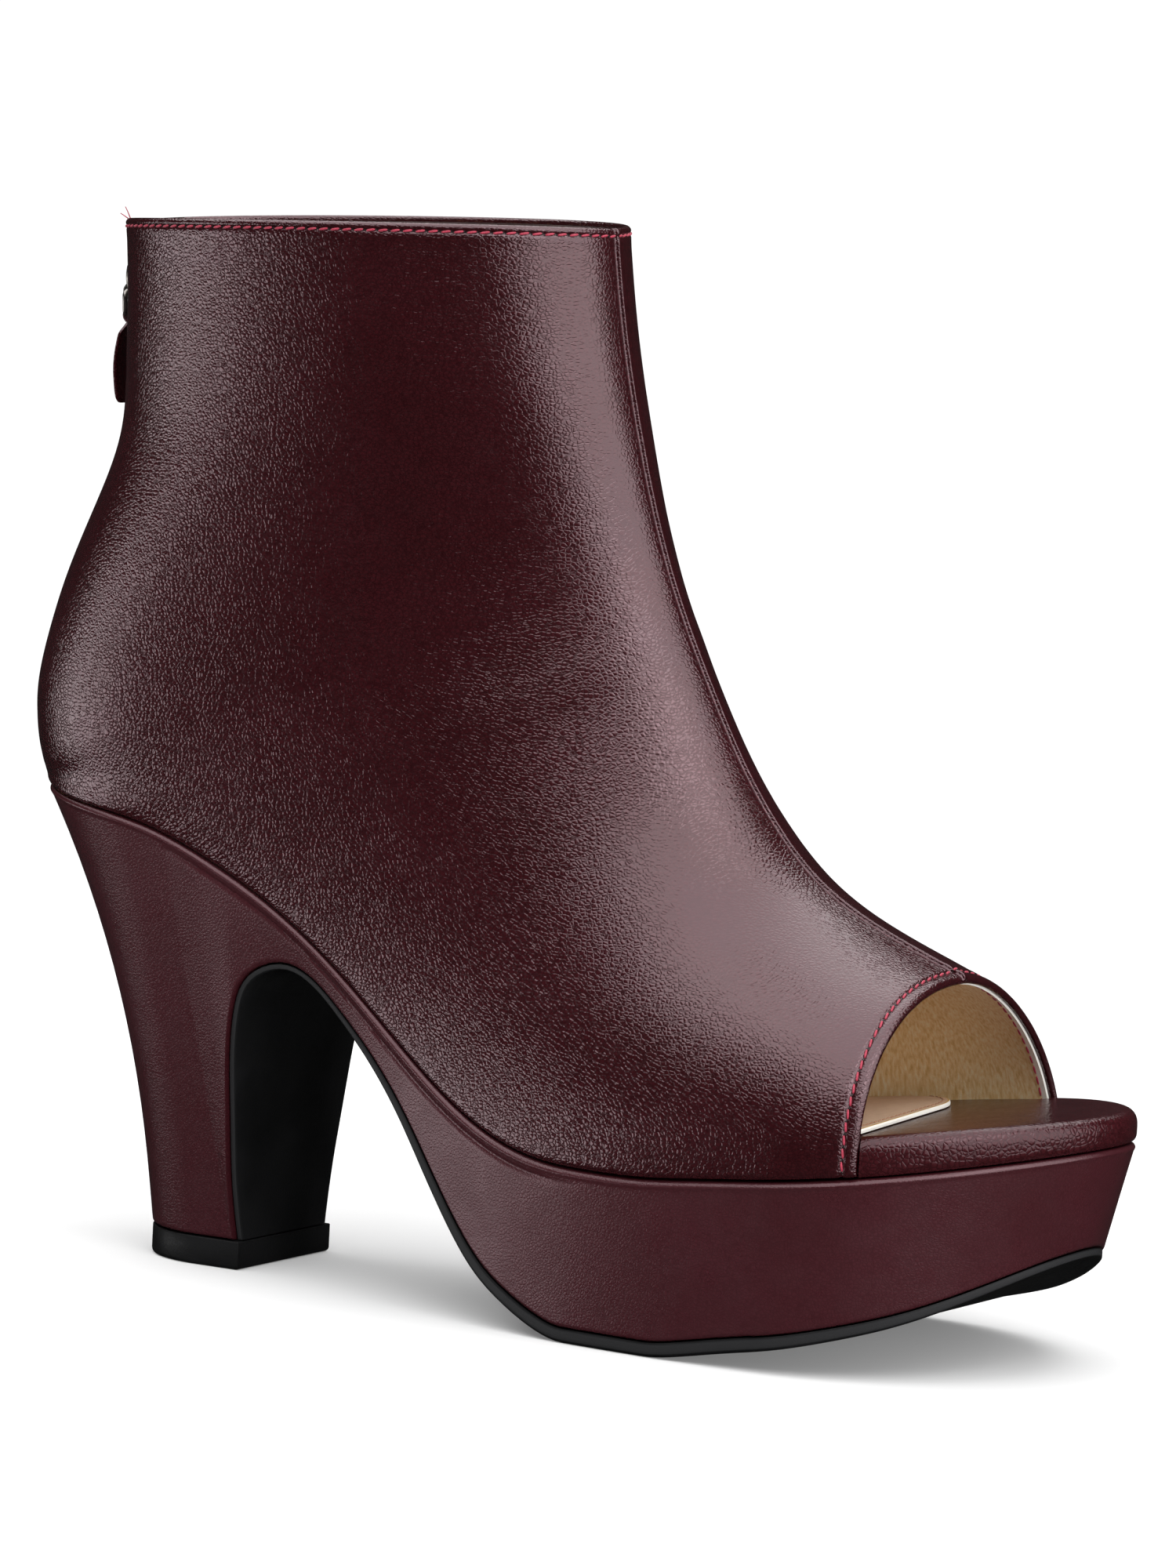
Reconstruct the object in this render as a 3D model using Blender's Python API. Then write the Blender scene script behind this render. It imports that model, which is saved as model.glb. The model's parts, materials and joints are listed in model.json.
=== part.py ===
# Peep toe ankle boot for the right foot, with a wrapped platform and block heel and a zip up the back.
# Metres. +X points to the toe, -Y to the outer side of the foot and +Z up, from the floor under the heel.

import bpy
import bmesh
import numpy as np
from mathutils import Matrix

for old in list(bpy.data.objects):
    bpy.data.objects.remove(old, do_unlink=True)

# Reaches along the foot, measured from the origin
seat_reach = 0.0450
breast_reach = 0.0134
flat_start = 0.1060
flat_end = 0.1250
ball_reach = 0.1500
opening_reach = 0.1705
opening_slant = 0.0035
toe_reach = 0.2060
sole_toe_reach = 0.1998
tip_drift = 0.0040
toe_round = 1.05

# Heights above the floor
heel_height = 0.0972
platform_height = 0.0355
board_spring = 0.0117
arch_height = 0.0656
toe_spring = 0.0238
apex_height = 0.0775
collar_back_height = 0.2152
collar_front_height = 0.2216
collar_lean = 0.0018
top_piece_height = 0.0060

# Widths on each side of the middle line
outer_ball = 0.0450
inner_ball = 0.0445
seat_half_width = 0.0300
heel_tip_half_width = 0.0180

# Heel and shaft
seat_round = 0.0310
heel_tip_reach = 0.0160
heel_tip_round = 0.0180
heel_bow = 1.20
heel_bow_fade = 1.15
collar_front_reach = 0.0805
shaft_set_in = 0.0142

# Thicknesses and clearances
wall = 0.0020
gap = 0.0003
edge_round = 0.0010
sole_thickness = 0.0030
breast_set_in = 0.0016
sole_set_in = 0.0002
board_thickness = 0.0078
board_round = 0.0034
sock_thickness = 0.0011
sock_inset = 0.0016
sock_reach = 0.1630
sock_slant = 0.0085
sock_corner = 0.0120
sock_corner_cut = 0.0096
seam_rise = 0.0006
seam_width = 0.0022
seam_slope = 0.0012
seam_edge = 0.0002
side_points = 14

# Zip
slot_foot = 0.11
slot_half_width = 0.0045
chain_half_width = 0.0021
chain_crown = 0.0015
chain_round = 0.0006
chain_sink = 0.0004
tape_half_width = 0.0100
tape_thickness = 0.0008
slider_share = 0.885
slider_length = 0.0090
slider_width = 0.0076
slider_thickness = 0.0024
bridge_width = 0.0016
bridge_thickness = 0.0007
bridge_drop = 0.0015
bridge_room = 0.0012
wire_radius = 0.00055
link_width = 0.0052
link_length = 0.0050
sleeve_room = 0.0005
tab_width = 0.0080
tab_length = 0.0170
tab_thickness = 0.0010
tab_bulge = 0.0021

# Where along the steps of the arch the heel breast ends, and how far along the foot the seat widens the plan
breast_end = 0.35
seat_end = 0.50
# Share of the sole's thickness that its lower edge is bevelled over, and by which it thins at the tip
sole_bevel = 0.30
tip_thinning = 0.25
# Shares of the sock's length at which its round heel ends and its slanted front starts
sock_heel = 0.15
sock_front = 0.72

# The edge where the upper meets the platform: place along the sole, height as shares of the heel's rise
# above the platform and of the board's spring at the toe
feather_rows = [
    # along, heel_rise, spring
    (0.000, 1.000, 0.000),
    (0.070, 0.969, 0.000),
    (0.155, 0.912, 0.000),
    (0.218, 0.817, 0.000),
    (0.280, 0.692, 0.000),
    (0.343, 0.523, 0.000),
    (0.405, 0.330, 0.000),
    (0.448, 0.207, 0.000),
    (0.492, 0.107, 0.000),
    (0.535, 0.040, 0.000),
    (0.580, 0.006, 0.000),
    (0.625, 0.000, 0.000),
    (0.670, 0.000, 0.020),
    (0.715, 0.000, 0.110),
    (0.770, 0.000, 0.235),
    (0.855, 0.000, 0.470),
    (0.925, 0.000, 0.715),
    (1.000, 0.000, 1.000),
]

# The insole board's thickness along the foot
padding_rows = [
    # along, thick
    (0.00, 0.62),
    (0.40, 0.76),
    (0.70, 0.94),
    (0.86, 1.04),
    (0.93, 0.98),
    (1.00, 0.82),
]

# The insole board's side, up its thickness, with the share of its edge's rounding
board_rows = [
    # up, rounded
    (0.00, 0.25),
    (0.22, 0.00),
    (0.55, 0.00),
    (0.82, 0.28),
    (1.00, 1.00),
]

# The wrapped unit's side, from its top edge down, with the share of its edge's rounding
cover_rows = [
    # down, rounded
    (0.00, 1.00),
    (0.03, 0.00),
    (0.28, 0.00),
    (0.62, 0.00),
    (0.97, 0.00),
    (1.00, 1.00),
]

# Plan of the feather edge from the middle of the heel seat to the ball, as shares of each side's ball width
plan_rows = [
    # along, outer, inner
    (0.000, 0.667, 0.675),
    (0.150, 0.668, 0.668),
    (0.330, 0.692, 0.658),
    (0.450, 0.750, 0.688),
    (0.573, 0.860, 0.765),
    (0.695, 0.950, 0.875),
    (0.817, 0.995, 0.960),
    (0.909, 1.004, 0.994),
    (1.000, 1.000, 1.000),
]

# The underside from the foot of the breast over the arch to the flat of the sole. forward and top are shares
# of the span from breast to flat, rise of the arch's height, narrow of the width above, thick of the sole
arch_rows = [
    # step, forward, rise, top, narrow, thick
    (0.00, 0.000, 0.096, -0.174, 0.625, 0.45),
    (0.07, -0.004, 0.280, -0.136, 0.705, 0.45),
    (0.15, 0.001, 0.500, -0.095, 0.785, 0.45),
    (0.22, 0.008, 0.700, -0.055, 0.855, 0.45),
    (0.28, 0.026, 0.858, -0.010, 0.905, 0.45),
    (0.33, 0.066, 0.957, 0.045, 0.930, 0.45),
    (0.37, 0.137, 0.998, 0.135, 0.945, 0.45),
    (0.42, 0.219, 0.970, 0.238, 0.955, 0.45),
    (0.48, 0.300, 0.884, 0.325, 0.960, 0.45),
    (0.55, 0.390, 0.766, 0.422, 0.965, 0.50),
    (0.64, 0.500, 0.590, 0.540, 0.970, 0.60),
    (0.73, 0.610, 0.382, 0.650, 0.975, 0.72),
    (0.81, 0.720, 0.196, 0.750, 0.980, 0.85),
    (0.89, 0.826, 0.088, 0.850, 0.985, 0.95),
    (0.95, 0.913, 0.028, 0.930, 0.985, 1.00),
    (1.00, 1.000, 0.000, 1.012, 0.985, 1.00),
]

# The underside from the flat to the tip, as shares of that span and of the toe spring
spring_rows = [
    # along, spring
    (0.000, 0.000),
    (0.120, 0.045),
    (0.250, 0.125),
    (0.400, 0.213),
    (0.560, 0.340),
    (0.720, 0.505),
    (0.870, 0.740),
    (1.000, 1.000),
]

# The centre front seam from the peep toe to the collar, as shares of its run and its rise
seam_rows = [
    # step, forward, up
    (0.000, 1.000, 0.000),
    (0.040, 0.928, 0.017),
    (0.085, 0.842, 0.037),
    (0.139, 0.738, 0.064),
    (0.193, 0.640, 0.098),
    (0.285, 0.508, 0.174),
    (0.353, 0.424, 0.243),
    (0.457, 0.319, 0.355),
    (0.563, 0.223, 0.473),
    (0.662, 0.150, 0.588),
    (0.773, 0.087, 0.721),
    (0.887, 0.035, 0.860),
    (1.000, 0.000, 1.000),
]

# The centre back from the heel seat to the collar, as shares of its rise and of the shaft's set-in
back_rows = [
    # up, set_in
    (0.000, 0.000),
    (0.050, -0.140),
    (0.110, -0.225),
    (0.170, -0.215),
    (0.250, -0.090),
    (0.340, 0.100),
    (0.430, 0.380),
    (0.520, 0.700),
    (0.600, 0.940),
    (0.650, 1.000),
    (0.720, 0.960),
    (0.850, 0.900),
    (1.000, 0.800),
]

# Rings round the upper, from the peep toe to the collar. base runs 0 to 1 along the foot, 1 to 2 round the
# heel seat and 2 to 3 up the back; seam is the step on the front seam; swell is how much the ring widens
# above its base; widest is where; the rounds shape its back and front quarters
ring_rows = [
    # ring, base, seam, outer_swell, inner_swell, widest, back_round, outer_front, inner_front
    (0.000, 0.000, 0.000, 1.004, 1.004, 0.02, 1.00, 0.87, 1.08),
    (0.060, 0.111, 0.078, 1.005, 1.005, 0.03, 1.00, 0.90, 1.05),
    (0.140, 0.274, 0.180, 1.006, 1.006, 0.03, 1.00, 0.98, 1.02),
    (0.205, 0.393, 0.250, 1.006, 1.006, 0.03, 1.00, 1.02, 0.98),
    (0.270, 0.490, 0.320, 1.006, 1.008, 0.03, 1.00, 1.04, 0.94),
    (0.335, 0.599, 0.380, 1.008, 1.012, 0.04, 1.00, 1.04, 0.90),
    (0.400, 0.707, 0.437, 1.012, 1.018, 0.06, 1.00, 1.02, 0.88),
    (0.490, 0.870, 0.503, 1.024, 1.026, 0.10, 0.98, 1.00, 0.86),
    (0.550, 1.000, 0.545, 1.032, 1.032, 0.14, 0.94, 0.98, 0.84),
    (0.595, 1.344, 0.572, 1.036, 1.036, 0.20, 0.90, 0.97, 0.84),
    (0.635, 1.633, 0.592, 1.040, 1.040, 0.24, 0.86, 0.97, 0.84),
    (0.680, 2.000, 0.610, 1.044, 1.044, 0.27, 0.84, 0.97, 0.84),
    (0.730, 2.160, 0.656, 1.046, 1.046, 0.30, 0.84, 0.97, 0.84),
    (0.830, 2.470, 0.770, 1.044, 1.044, 0.38, 0.88, 0.96, 0.86),
    (0.900, 2.690, 0.853, 1.050, 1.050, 0.44, 0.92, 0.96, 0.90),
    (0.950, 2.845, 0.927, 1.056, 1.056, 0.48, 0.95, 0.96, 0.92),
    (1.000, 3.000, 1.000, 1.062, 1.062, 0.50, 0.95, 0.96, 0.93),
]

# The tab down its length, as shares of its half width and of its bulge
tab_rows = [
    # down, wide, bulge
    (0.00, 0.25, 0.00),
    (0.12, 1.00, 0.30),
    (0.28, 1.00, 0.65),
    (0.45, 1.00, 0.91),
    (0.62, 1.00, 1.00),
    (0.78, 1.00, 0.93),
    (0.90, 1.00, 0.82),
    (0.97, 0.83, 0.73),
    (1.00, 0.65, 0.68),
]

# Half of the slider's outline, as shares of its half width and its length
slider_rows = [
    # across, up
    (0.62, -0.50),
    (1.00, 0.12),
    (0.80, 0.50),
]

outer, inner = -1, 1
seat_middle = seat_round - seat_reach
sole_length = seat_reach + toe_reach
arch_span = flat_start - breast_reach


def through(rows, column, at, first_slope=None, last_slope=None):
    """A cubic spline through one column of a table, read at the given places in its first column."""
    place = np.array([row[0] for row in rows])
    value = np.array([row[column] for row in rows])
    step = np.diff(place)
    slope = np.diff(value) / step
    count = len(place)
    left = np.zeros((count, count))
    right = np.zeros(count)
    for i in range(1, count - 1):
        left[i, i - 1 : i + 2] = step[i - 1], 2 * (step[i - 1] + step[i]), step[i]
        right[i] = 6 * (slope[i] - slope[i - 1])
    left[0, 0] = left[-1, -1] = 1.0
    if first_slope is not None:
        left[0, :2] = 2 * step[0], step[0]
        right[0] = 6 * (slope[0] - first_slope)
    if last_slope is not None:
        left[-1, -2:] = step[-1], 2 * step[-1]
        right[-1] = 6 * (last_slope - slope[-1])
    bend = np.linalg.solve(left, right)
    at = np.clip(at, place[0], place[-1])
    i = np.clip(np.searchsorted(place, at, side="right") - 1, 0, count - 2)
    back = (place[i + 1] - at) / step[i]
    on = (at - place[i]) / step[i]
    curved = ((back**3 - back) * bend[i] + (on**3 - on) * bend[i + 1]) * step[i] ** 2 / 6
    return back * value[i] + on * value[i + 1] + curved


def mix(first, last, share):
    return first + (last - first) * share


def feather_height(x):
    along = (x + seat_reach) / sole_length
    rise = through(feather_rows, 1, along)
    spring = through(feather_rows, 2, along)
    return platform_height + rise * (heel_height - platform_height) + spring * board_spring


def side_width(x, side):
    """Half width of the feather edge between the heel seat and the ball."""
    along = (x - seat_middle) / (ball_reach - seat_middle)
    column, ball = (1, outer_ball) if side == outer else (2, inner_ball)
    share = through(plan_rows, column, along, last_slope=0.0)
    seat_share = through(plan_rows, column, 0.0)
    widen = (seat_half_width - seat_share * ball) * np.clip(1 - along / seat_end, 0, 1) ** 2
    return share * ball + widen


def toe_side(turn, side, reach, inset, narrow=1.0):
    """The point of the round toe at a turn of 0 (ball) to 1 (tip)."""
    ball = outer_ball if side == outer else inner_ball
    half = ball * narrow - inset - side * tip_drift
    angle = turn * np.pi / 2
    x = ball_reach + (reach - inset - ball_reach) * np.sin(angle) ** toe_round
    return x, side * half * max(0.0, np.cos(angle)) ** toe_round + tip_drift


def top_edge(station, side, inset=0.0):
    """The feather edge, whose stations count 1 each for the seat, heel side, arch, ball and toe."""
    if station <= 1:
        angle = station * np.pi / 2
        x = seat_middle - (seat_round - inset) * np.cos(angle)
        y = side * (side_width(seat_middle, side) - inset) * np.sin(angle)
    elif station <= 4:
        x = side_x(station)
        y = side * (side_width(x, side) - inset)
    else:
        x, y = toe_side(station - 4, side, toe_reach, inset)
    return np.array([x, y, feather_height(x)])


def side_x(station):
    breast_top = breast_reach + arch_rows[0][3] * arch_span
    if station <= 2:
        return mix(seat_middle, breast_top, station - 1)
    if station <= 3:
        return breast_reach + arch_span * through(arch_rows, 3, station - 2)
    return mix(breast_reach + arch_span * arch_rows[-1][3], ball_reach, station - 3)


def underside(station):
    """Place and height of the sole's lower face, for stations from 2 on."""
    if station <= 3:
        x = breast_reach + arch_span * through(arch_rows, 1, station - 2)
        return np.array([x, arch_height * through(arch_rows, 2, station - 2, last_slope=0.0)])
    if station <= 4:
        x = mix(flat_start, ball_reach, station - 3)
    else:
        x = toe_side(station - 4, outer, sole_toe_reach, 0.0)[0]
    along = max(0.0, (x - flat_end) / (sole_toe_reach - flat_end))
    return np.array([x, toe_spring * through(spring_rows, 1, along, first_slope=0.0)])


def sole_depth(station):
    """Thickness of the sole, and the direction from its lower face into the boot."""
    step = 0.004
    before = underside(max(2.0, station - step))
    after = underside(min(5.0, station + step))
    run = (after - before) / np.linalg.norm(after - before)
    thick = 1.0 - tip_thinning * max(0.0, station - 4)
    if station <= 3:
        thick = through(arch_rows, 5, station - 2)
    if abs(station - 2.0) < step:
        run = np.array([0.0, 1.0])
    return sole_thickness * thick, np.array([-run[1], run[0]])


def low_edge(station, side, lift, inset=0.0):
    """The wrapped unit's lower edge, or the sole's faces, a given lift above the lower face."""
    floor = top_piece_height + gap if station < 2 + breast_end else 0.0
    if station <= 2:
        if station <= 1:
            angle = station * np.pi / 2
            x = heel_tip_round - heel_tip_reach - (heel_tip_round - inset) * np.cos(angle)
            return np.array([x, side * (heel_tip_half_width - inset) * np.sin(angle), floor])
        front = underside(2.0)[0] - lift
        x = mix(heel_tip_round - heel_tip_reach, front, station - 1)
        return np.array([x, side * (heel_tip_half_width - inset), floor])
    x, z = underside(station) + sole_depth(station)[1] * lift
    if station <= 4:
        narrow = through(arch_rows, 4, station - 2) if station <= 3 else arch_rows[-1][4]
        half = side_width(side_x(station), side) * narrow
        if station <= 3:
            tip_share = heel_tip_half_width / (seat_half_width * arch_rows[0][4])
            half *= mix(tip_share, 1.0, min(1.0, (station - 2) / breast_end))
        y = side * (half - inset)
    else:
        x, y = toe_side(station - 4, side, sole_toe_reach, inset, arch_rows[-1][4])
    return np.array([x, y, max(z, floor)])


def unit_wall(station, side, share, inset):
    """A point of the wrapped unit's side, from its top edge (0) to its lower edge (1)."""
    lift = gap + (sole_depth(station)[0] if station >= 2 else sole_depth(2.0)[0])
    top = top_edge(station, side, inset)
    low = low_edge(station, side, lift, inset)
    fade = np.clip(1 - station / 2, 0, 1)
    bowed = share + heel_bow * fade * share * (1 - share) ** heel_bow_fade
    x = mix(top[0], low[0], bowed)
    return np.array([x, mix(top[1], low[1], share), mix(top[2], low[2], share)])


def skin(rings, loop=False):
    """Faces between rings, which close in a loop or end in faces, unless an end has fallen together."""
    mesh = bmesh.new()
    made = [[mesh.verts.new(point) for point in ring] for ring in rings]
    count = len(rings[0])
    for first, second in zip(made, made[1:] + made[:1] if loop else made[1:]):
        for j in range(count):
            k = (j + 1) % count
            mesh.faces.new((first[j], first[k], second[k], second[j]))
    for end in () if loop else (made[0], made[-1]):
        spread = max((vert.co - end[count - 1 - j].co).length for j, vert in enumerate(end))
        for j in range(count // 2 - 1 if spread > gap / 100 else 0):
            mesh.faces.new((end[j], end[j + 1], end[count - 2 - j], end[count - 1 - j]))
    bmesh.ops.remove_doubles(mesh, verts=mesh.verts, dist=1e-7)
    bmesh.ops.recalc_face_normals(mesh, faces=mesh.faces)
    return mesh


def make(name, mesh, material, parent=None, sharp=35):
    data = bpy.data.meshes.new(name)
    mesh.to_mesh(data)
    mesh.free()
    data.shade_smooth()
    data.set_sharp_from_angle(angle=np.radians(sharp))
    data.materials.append(material)
    made = bpy.data.objects.new(name, data)
    bpy.context.scene.collection.objects.link(made)
    made.parent = parent
    return made


def finish(name, colour, roughness, metallic=0.0):
    made = bpy.data.materials.new(name)
    made.use_nodes = True
    shader = made.node_tree.nodes["Principled BSDF"]
    shader.inputs["Base Color"].default_value = (*colour, 1.0)
    shader.inputs["Roughness"].default_value = roughness
    shader.inputs["Metallic"].default_value = metallic
    return made


def toe_turn(x):
    """The turn of the round toe that reaches a place along the foot."""
    share = np.clip((x - ball_reach) / (toe_reach - ball_reach), 0, 1)
    return np.arcsin(share ** (1 / toe_round)) * 2 / np.pi


def opening_at(side):
    """How far the upper reaches along each side of the peep toe."""
    return opening_reach + (opening_slant if side == inner else 0.0)


def opening_station(side):
    """The station just past the upper's end on each side."""
    return 4 + toe_turn(opening_at(side) + gap)


def unit_stations():
    """Stations shared by the wrapped unit and the board on it, with one where the upper ends on each side."""
    ends = [opening_station(outer), opening_station(inner)]
    heel = [*np.linspace(0, 1, 9), 1.5]
    arch = [*np.linspace(2, 3, 23), 3.4, 3.7, 4.0]
    toe = [mix(4, ends[0], 0.5), *ends, *np.linspace(ends[1], 5, 11)[1:]]
    return [*heel, *arch, *toe]


def heel_unit(material, parent):
    rings = []
    for station in unit_stations():
        ring = [unit_wall(station, outer, down, rounded * edge_round) for down, rounded in cover_rows]
        ring += [unit_wall(station, inner, down, rounded * edge_round) for down, rounded in cover_rows[::-1]]
        rings.append(ring)
    return make("platform_heel_cover", skin(rings), material, parent)


def outsole(material, parent):
    after_flat = 3 + (flat_end - flat_start) / (ball_reach - flat_start)
    stations = [*np.linspace(2, 3, 23), after_flat, mix(after_flat, 4, 0.5), *np.linspace(4, 5, 12)]
    rings = []
    for station in stations:
        depth = sole_depth(station)[0]
        past_breast = np.clip((station - 2) / (2 * breast_end), 0, 1)
        hidden = mix(breast_set_in, sole_set_in, past_breast)
        bevel = sole_bevel * depth
        rows = [(depth, hidden), (bevel, hidden), (0.0, hidden + bevel)]
        ring = [low_edge(station, outer, lift, inset) for lift, inset in rows]
        ring += [low_edge(station, inner, lift, inset) for lift, inset in rows[::-1]]
        rings.append(ring)
    return make("outsole", skin(rings), material, parent)


def top_piece(material, parent):
    outline = [low_edge(station, outer, 0.0) for station in [*np.linspace(0, 1, 9), 2.0]]
    outline += [low_edge(station, inner, 0.0) for station in [2.0, *np.linspace(1, 0, 9)[:-1]]]
    mesh = bmesh.new()
    base = mesh.faces.new([mesh.verts.new((x, y, 0.0)) for x, y, _ in outline])
    raised = bmesh.ops.extrude_face_region(mesh, geom=[base])
    lifted = [item for item in raised["geom"] if isinstance(item, bmesh.types.BMVert)]
    bmesh.ops.translate(mesh, verts=lifted, vec=(0.0, 0.0, top_piece_height))
    bmesh.ops.recalc_face_normals(mesh, faces=mesh.faces)
    return make("top_piece", mesh, material, parent)


def board_top(x):
    """Height of the insole board's upper face."""
    along = np.clip((x + seat_reach) / sole_length, 0, 1)
    return feather_height(x) + gap + board_thickness * through(padding_rows, 1, along)


def insole_board(material, parent):
    rings = []
    for station in unit_stations():
        ring = []
        for side, rows in ((outer, board_rows), (inner, board_rows[::-1])):
            hidden = wall + 3 * gap if station <= opening_station(side) else 0.0
            for up, rounded in rows:
                x, y, z = top_edge(station, side, hidden + rounded * board_round)
                ring.append((x, y, mix(z + gap, board_top(x), up)))
        rings.append(ring)
    return make("insole_board", skin(rings), material, parent)


def sock_point(along, across, lift):
    """A point of the sock, from heel (0) to front edge (1) and from outer edge (-1) to inner edge (1)."""
    side = outer if across < 0 else inner
    reach_back = seat_reach - wall - board_round - sock_inset
    x = mix(-reach_back, sock_reach, along)
    inset = wall + 2 * gap + board_round + sock_inset
    if x < seat_middle:
        turn = np.arccos(np.clip((seat_middle - x) / (seat_middle + reach_back), 0, 1))
        half = (side_width(seat_middle, side) - inset) * np.sin(turn)
    elif x < ball_reach:
        half = side_width(x, side) - inset
    else:
        half = side * toe_side(toe_turn(x), side, toe_reach, 0.0)[1] - inset
    y = half * across
    front = np.clip((along - sock_front) / (1 - sock_front), 0, 1) ** 2
    corner = np.clip((y - half + sock_corner) / sock_corner, 0, 1) if side == inner else 0.0
    cut = sock_corner_cut * (1 - np.sqrt(1 - corner**2))
    x -= front * (sock_slant * y / inner_ball + cut)
    return np.array([x, y, board_top(x) + gap + lift])


def sock(material, parent):
    heel = sock_heel * (1 - np.cos(np.linspace(0, np.pi / 2, 7)))
    across = np.array([-1, -0.6, 0.0, 0.5, 0.8, 0.93, 1])
    rings = []
    for along in [*heel, *np.linspace(sock_heel, 1.0, 20)[1:]]:
        over = [sock_point(along, share, sock_thickness) for share in across]
        under = [sock_point(along, share, 0.0) for share in across[::-1]]
        rings.append(over + under)
    return make("sock", skin(rings), material, parent)


def seam_point(step):
    """The centre front seam."""
    run = opening_reach - collar_front_reach
    x = collar_front_reach + run * through(seam_rows, 1, step)
    z = apex_height + (collar_front_height - apex_height) * through(seam_rows, 2, step)
    return np.array([x, 0.0, z])


def back_point(up):
    """The centre back line."""
    x = -seat_reach + shaft_set_in * through(back_rows, 1, up)
    return np.array([x, 0.0, mix(heel_height + gap, collar_back_height, up)])


def base_point(base, side):
    """Where a ring starts: on the feather edge, round the heel seat, or up the centre back."""
    if base <= 1:
        x = mix(opening_at(side), seat_middle, base)
        if x > ball_reach:
            y = toe_side(toe_turn(x), side, toe_reach, 0.0)[1]
        else:
            y = side * side_width(x, side)
        return np.array([x, y, feather_height(x) + gap])
    if base <= 2:
        point = top_edge(2 - base, side)
        return point + np.array([0.0, 0.0, gap])
    return back_point(base - 2)


def ring_line(ring, side, samples=180):
    """A fine line round one side of the upper's outer face, from its base to the front seam."""
    column = 3 if side == outer else 4
    base = float(through(ring_rows, 1, ring))
    start = base_point(base, side)
    front = seam_point(through(ring_rows, 2, ring))
    width = max(abs(start[1]), side_width(seat_middle, side) if base > 1 else 0.0)
    width *= through(ring_rows, column, ring)
    widest = through(ring_rows, 5, ring)
    back_round = through(ring_rows, 6, ring)
    front_round = through(ring_rows, 7 if side == outer else 8, ring)
    first = np.arcsin(min(1.0, (abs(start[1]) / width) ** (1 / back_round)))
    angle = np.linspace(first, np.pi, samples)
    behind = np.clip(np.cos(angle), 0, 1) ** back_round
    ahead = np.clip(-np.cos(angle), 0, 1) ** front_round
    along = widest * (1 - behind / np.cos(first) ** back_round) + (1 - widest) * ahead
    power = np.where(angle < np.pi / 2, back_round, front_round)
    out = side * width * np.clip(np.sin(angle), 0, 1) ** power
    x = mix(start[0], front[0], along)
    z = mix(start[2], front[2], along)
    if side == inner:
        z = z + collar_lean * max(0.0, base - 2) ** 2 * np.abs(out) / width
    return np.stack([x, out, z], axis=1)


def along_line(line, places):
    """Points at the given distances along a line."""
    length = np.concatenate([[0.0], np.cumsum(np.linalg.norm(np.diff(line, axis=0), axis=1))])
    return np.stack([np.interp(places, length, line[:, i]) for i in range(3)], axis=1)


def line_length(line):
    return float(np.linalg.norm(np.diff(line, axis=0), axis=1).sum())


def ring_normals(ring, side, distances):
    """Outward directions at distances along a ring. Those on the middle plane have no sideways part."""
    step = 0.003
    nudge = 0.0008
    line = ring_line(ring, side)
    length = line_length(line)
    pair = []
    for way in (-1, 1):
        near = ring_line(np.clip(ring + way * step, 0, 1), side)
        pair.append(along_line(near, distances / length * line_length(near)))
    forth = along_line(line, np.clip(distances + nudge, 0, length))
    back = along_line(line, np.clip(distances - nudge, 0, length))
    normal = np.cross(pair[1] - pair[0], forth - back) * side
    middle = np.abs(along_line(line, distances)[:, 1]) < 1e-6
    normal[middle, 1] = 0.0
    return normal / np.linalg.norm(normal, axis=1)[:, None]


def ring_places(ring):
    """Distances of the upper's points along a ring, close together at its base or beside the zip."""
    start = slot_half_width if ring > ring_at(2.0 + slot_foot) + 1e-6 else 0.0
    beside = tape_half_width - slot_half_width
    places = {}
    for side in (outer, inner):
        end = line_length(ring_line(ring, side))
        rest = np.linspace(start + beside, end, side_points - 2)
        if side == inner:
            rest = [*rest[:-1], end - seam_width - seam_slope, end - seam_width, end - seam_edge]
        places[side] = np.array([start, start + beside / 2, *rest])
    return places


def upper_rings():
    """The upper's rings, from the peep toe to the collar. The shaft's first ring starts the zip's slot."""
    seat = [ring_at(2 - station) for station in unit_stations() if station <= 1][::-1]
    foot = [*np.linspace(0, ring_at(0.95), 15), *seat]
    closed = [ring_at(2.0 + slot_foot * 0.5), ring_at(2.0 + slot_foot)]
    shaft = [*np.linspace(ring_at(2.0 + slot_foot + 0.02), 1.0, 11)]
    return foot, closed, shaft


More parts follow.
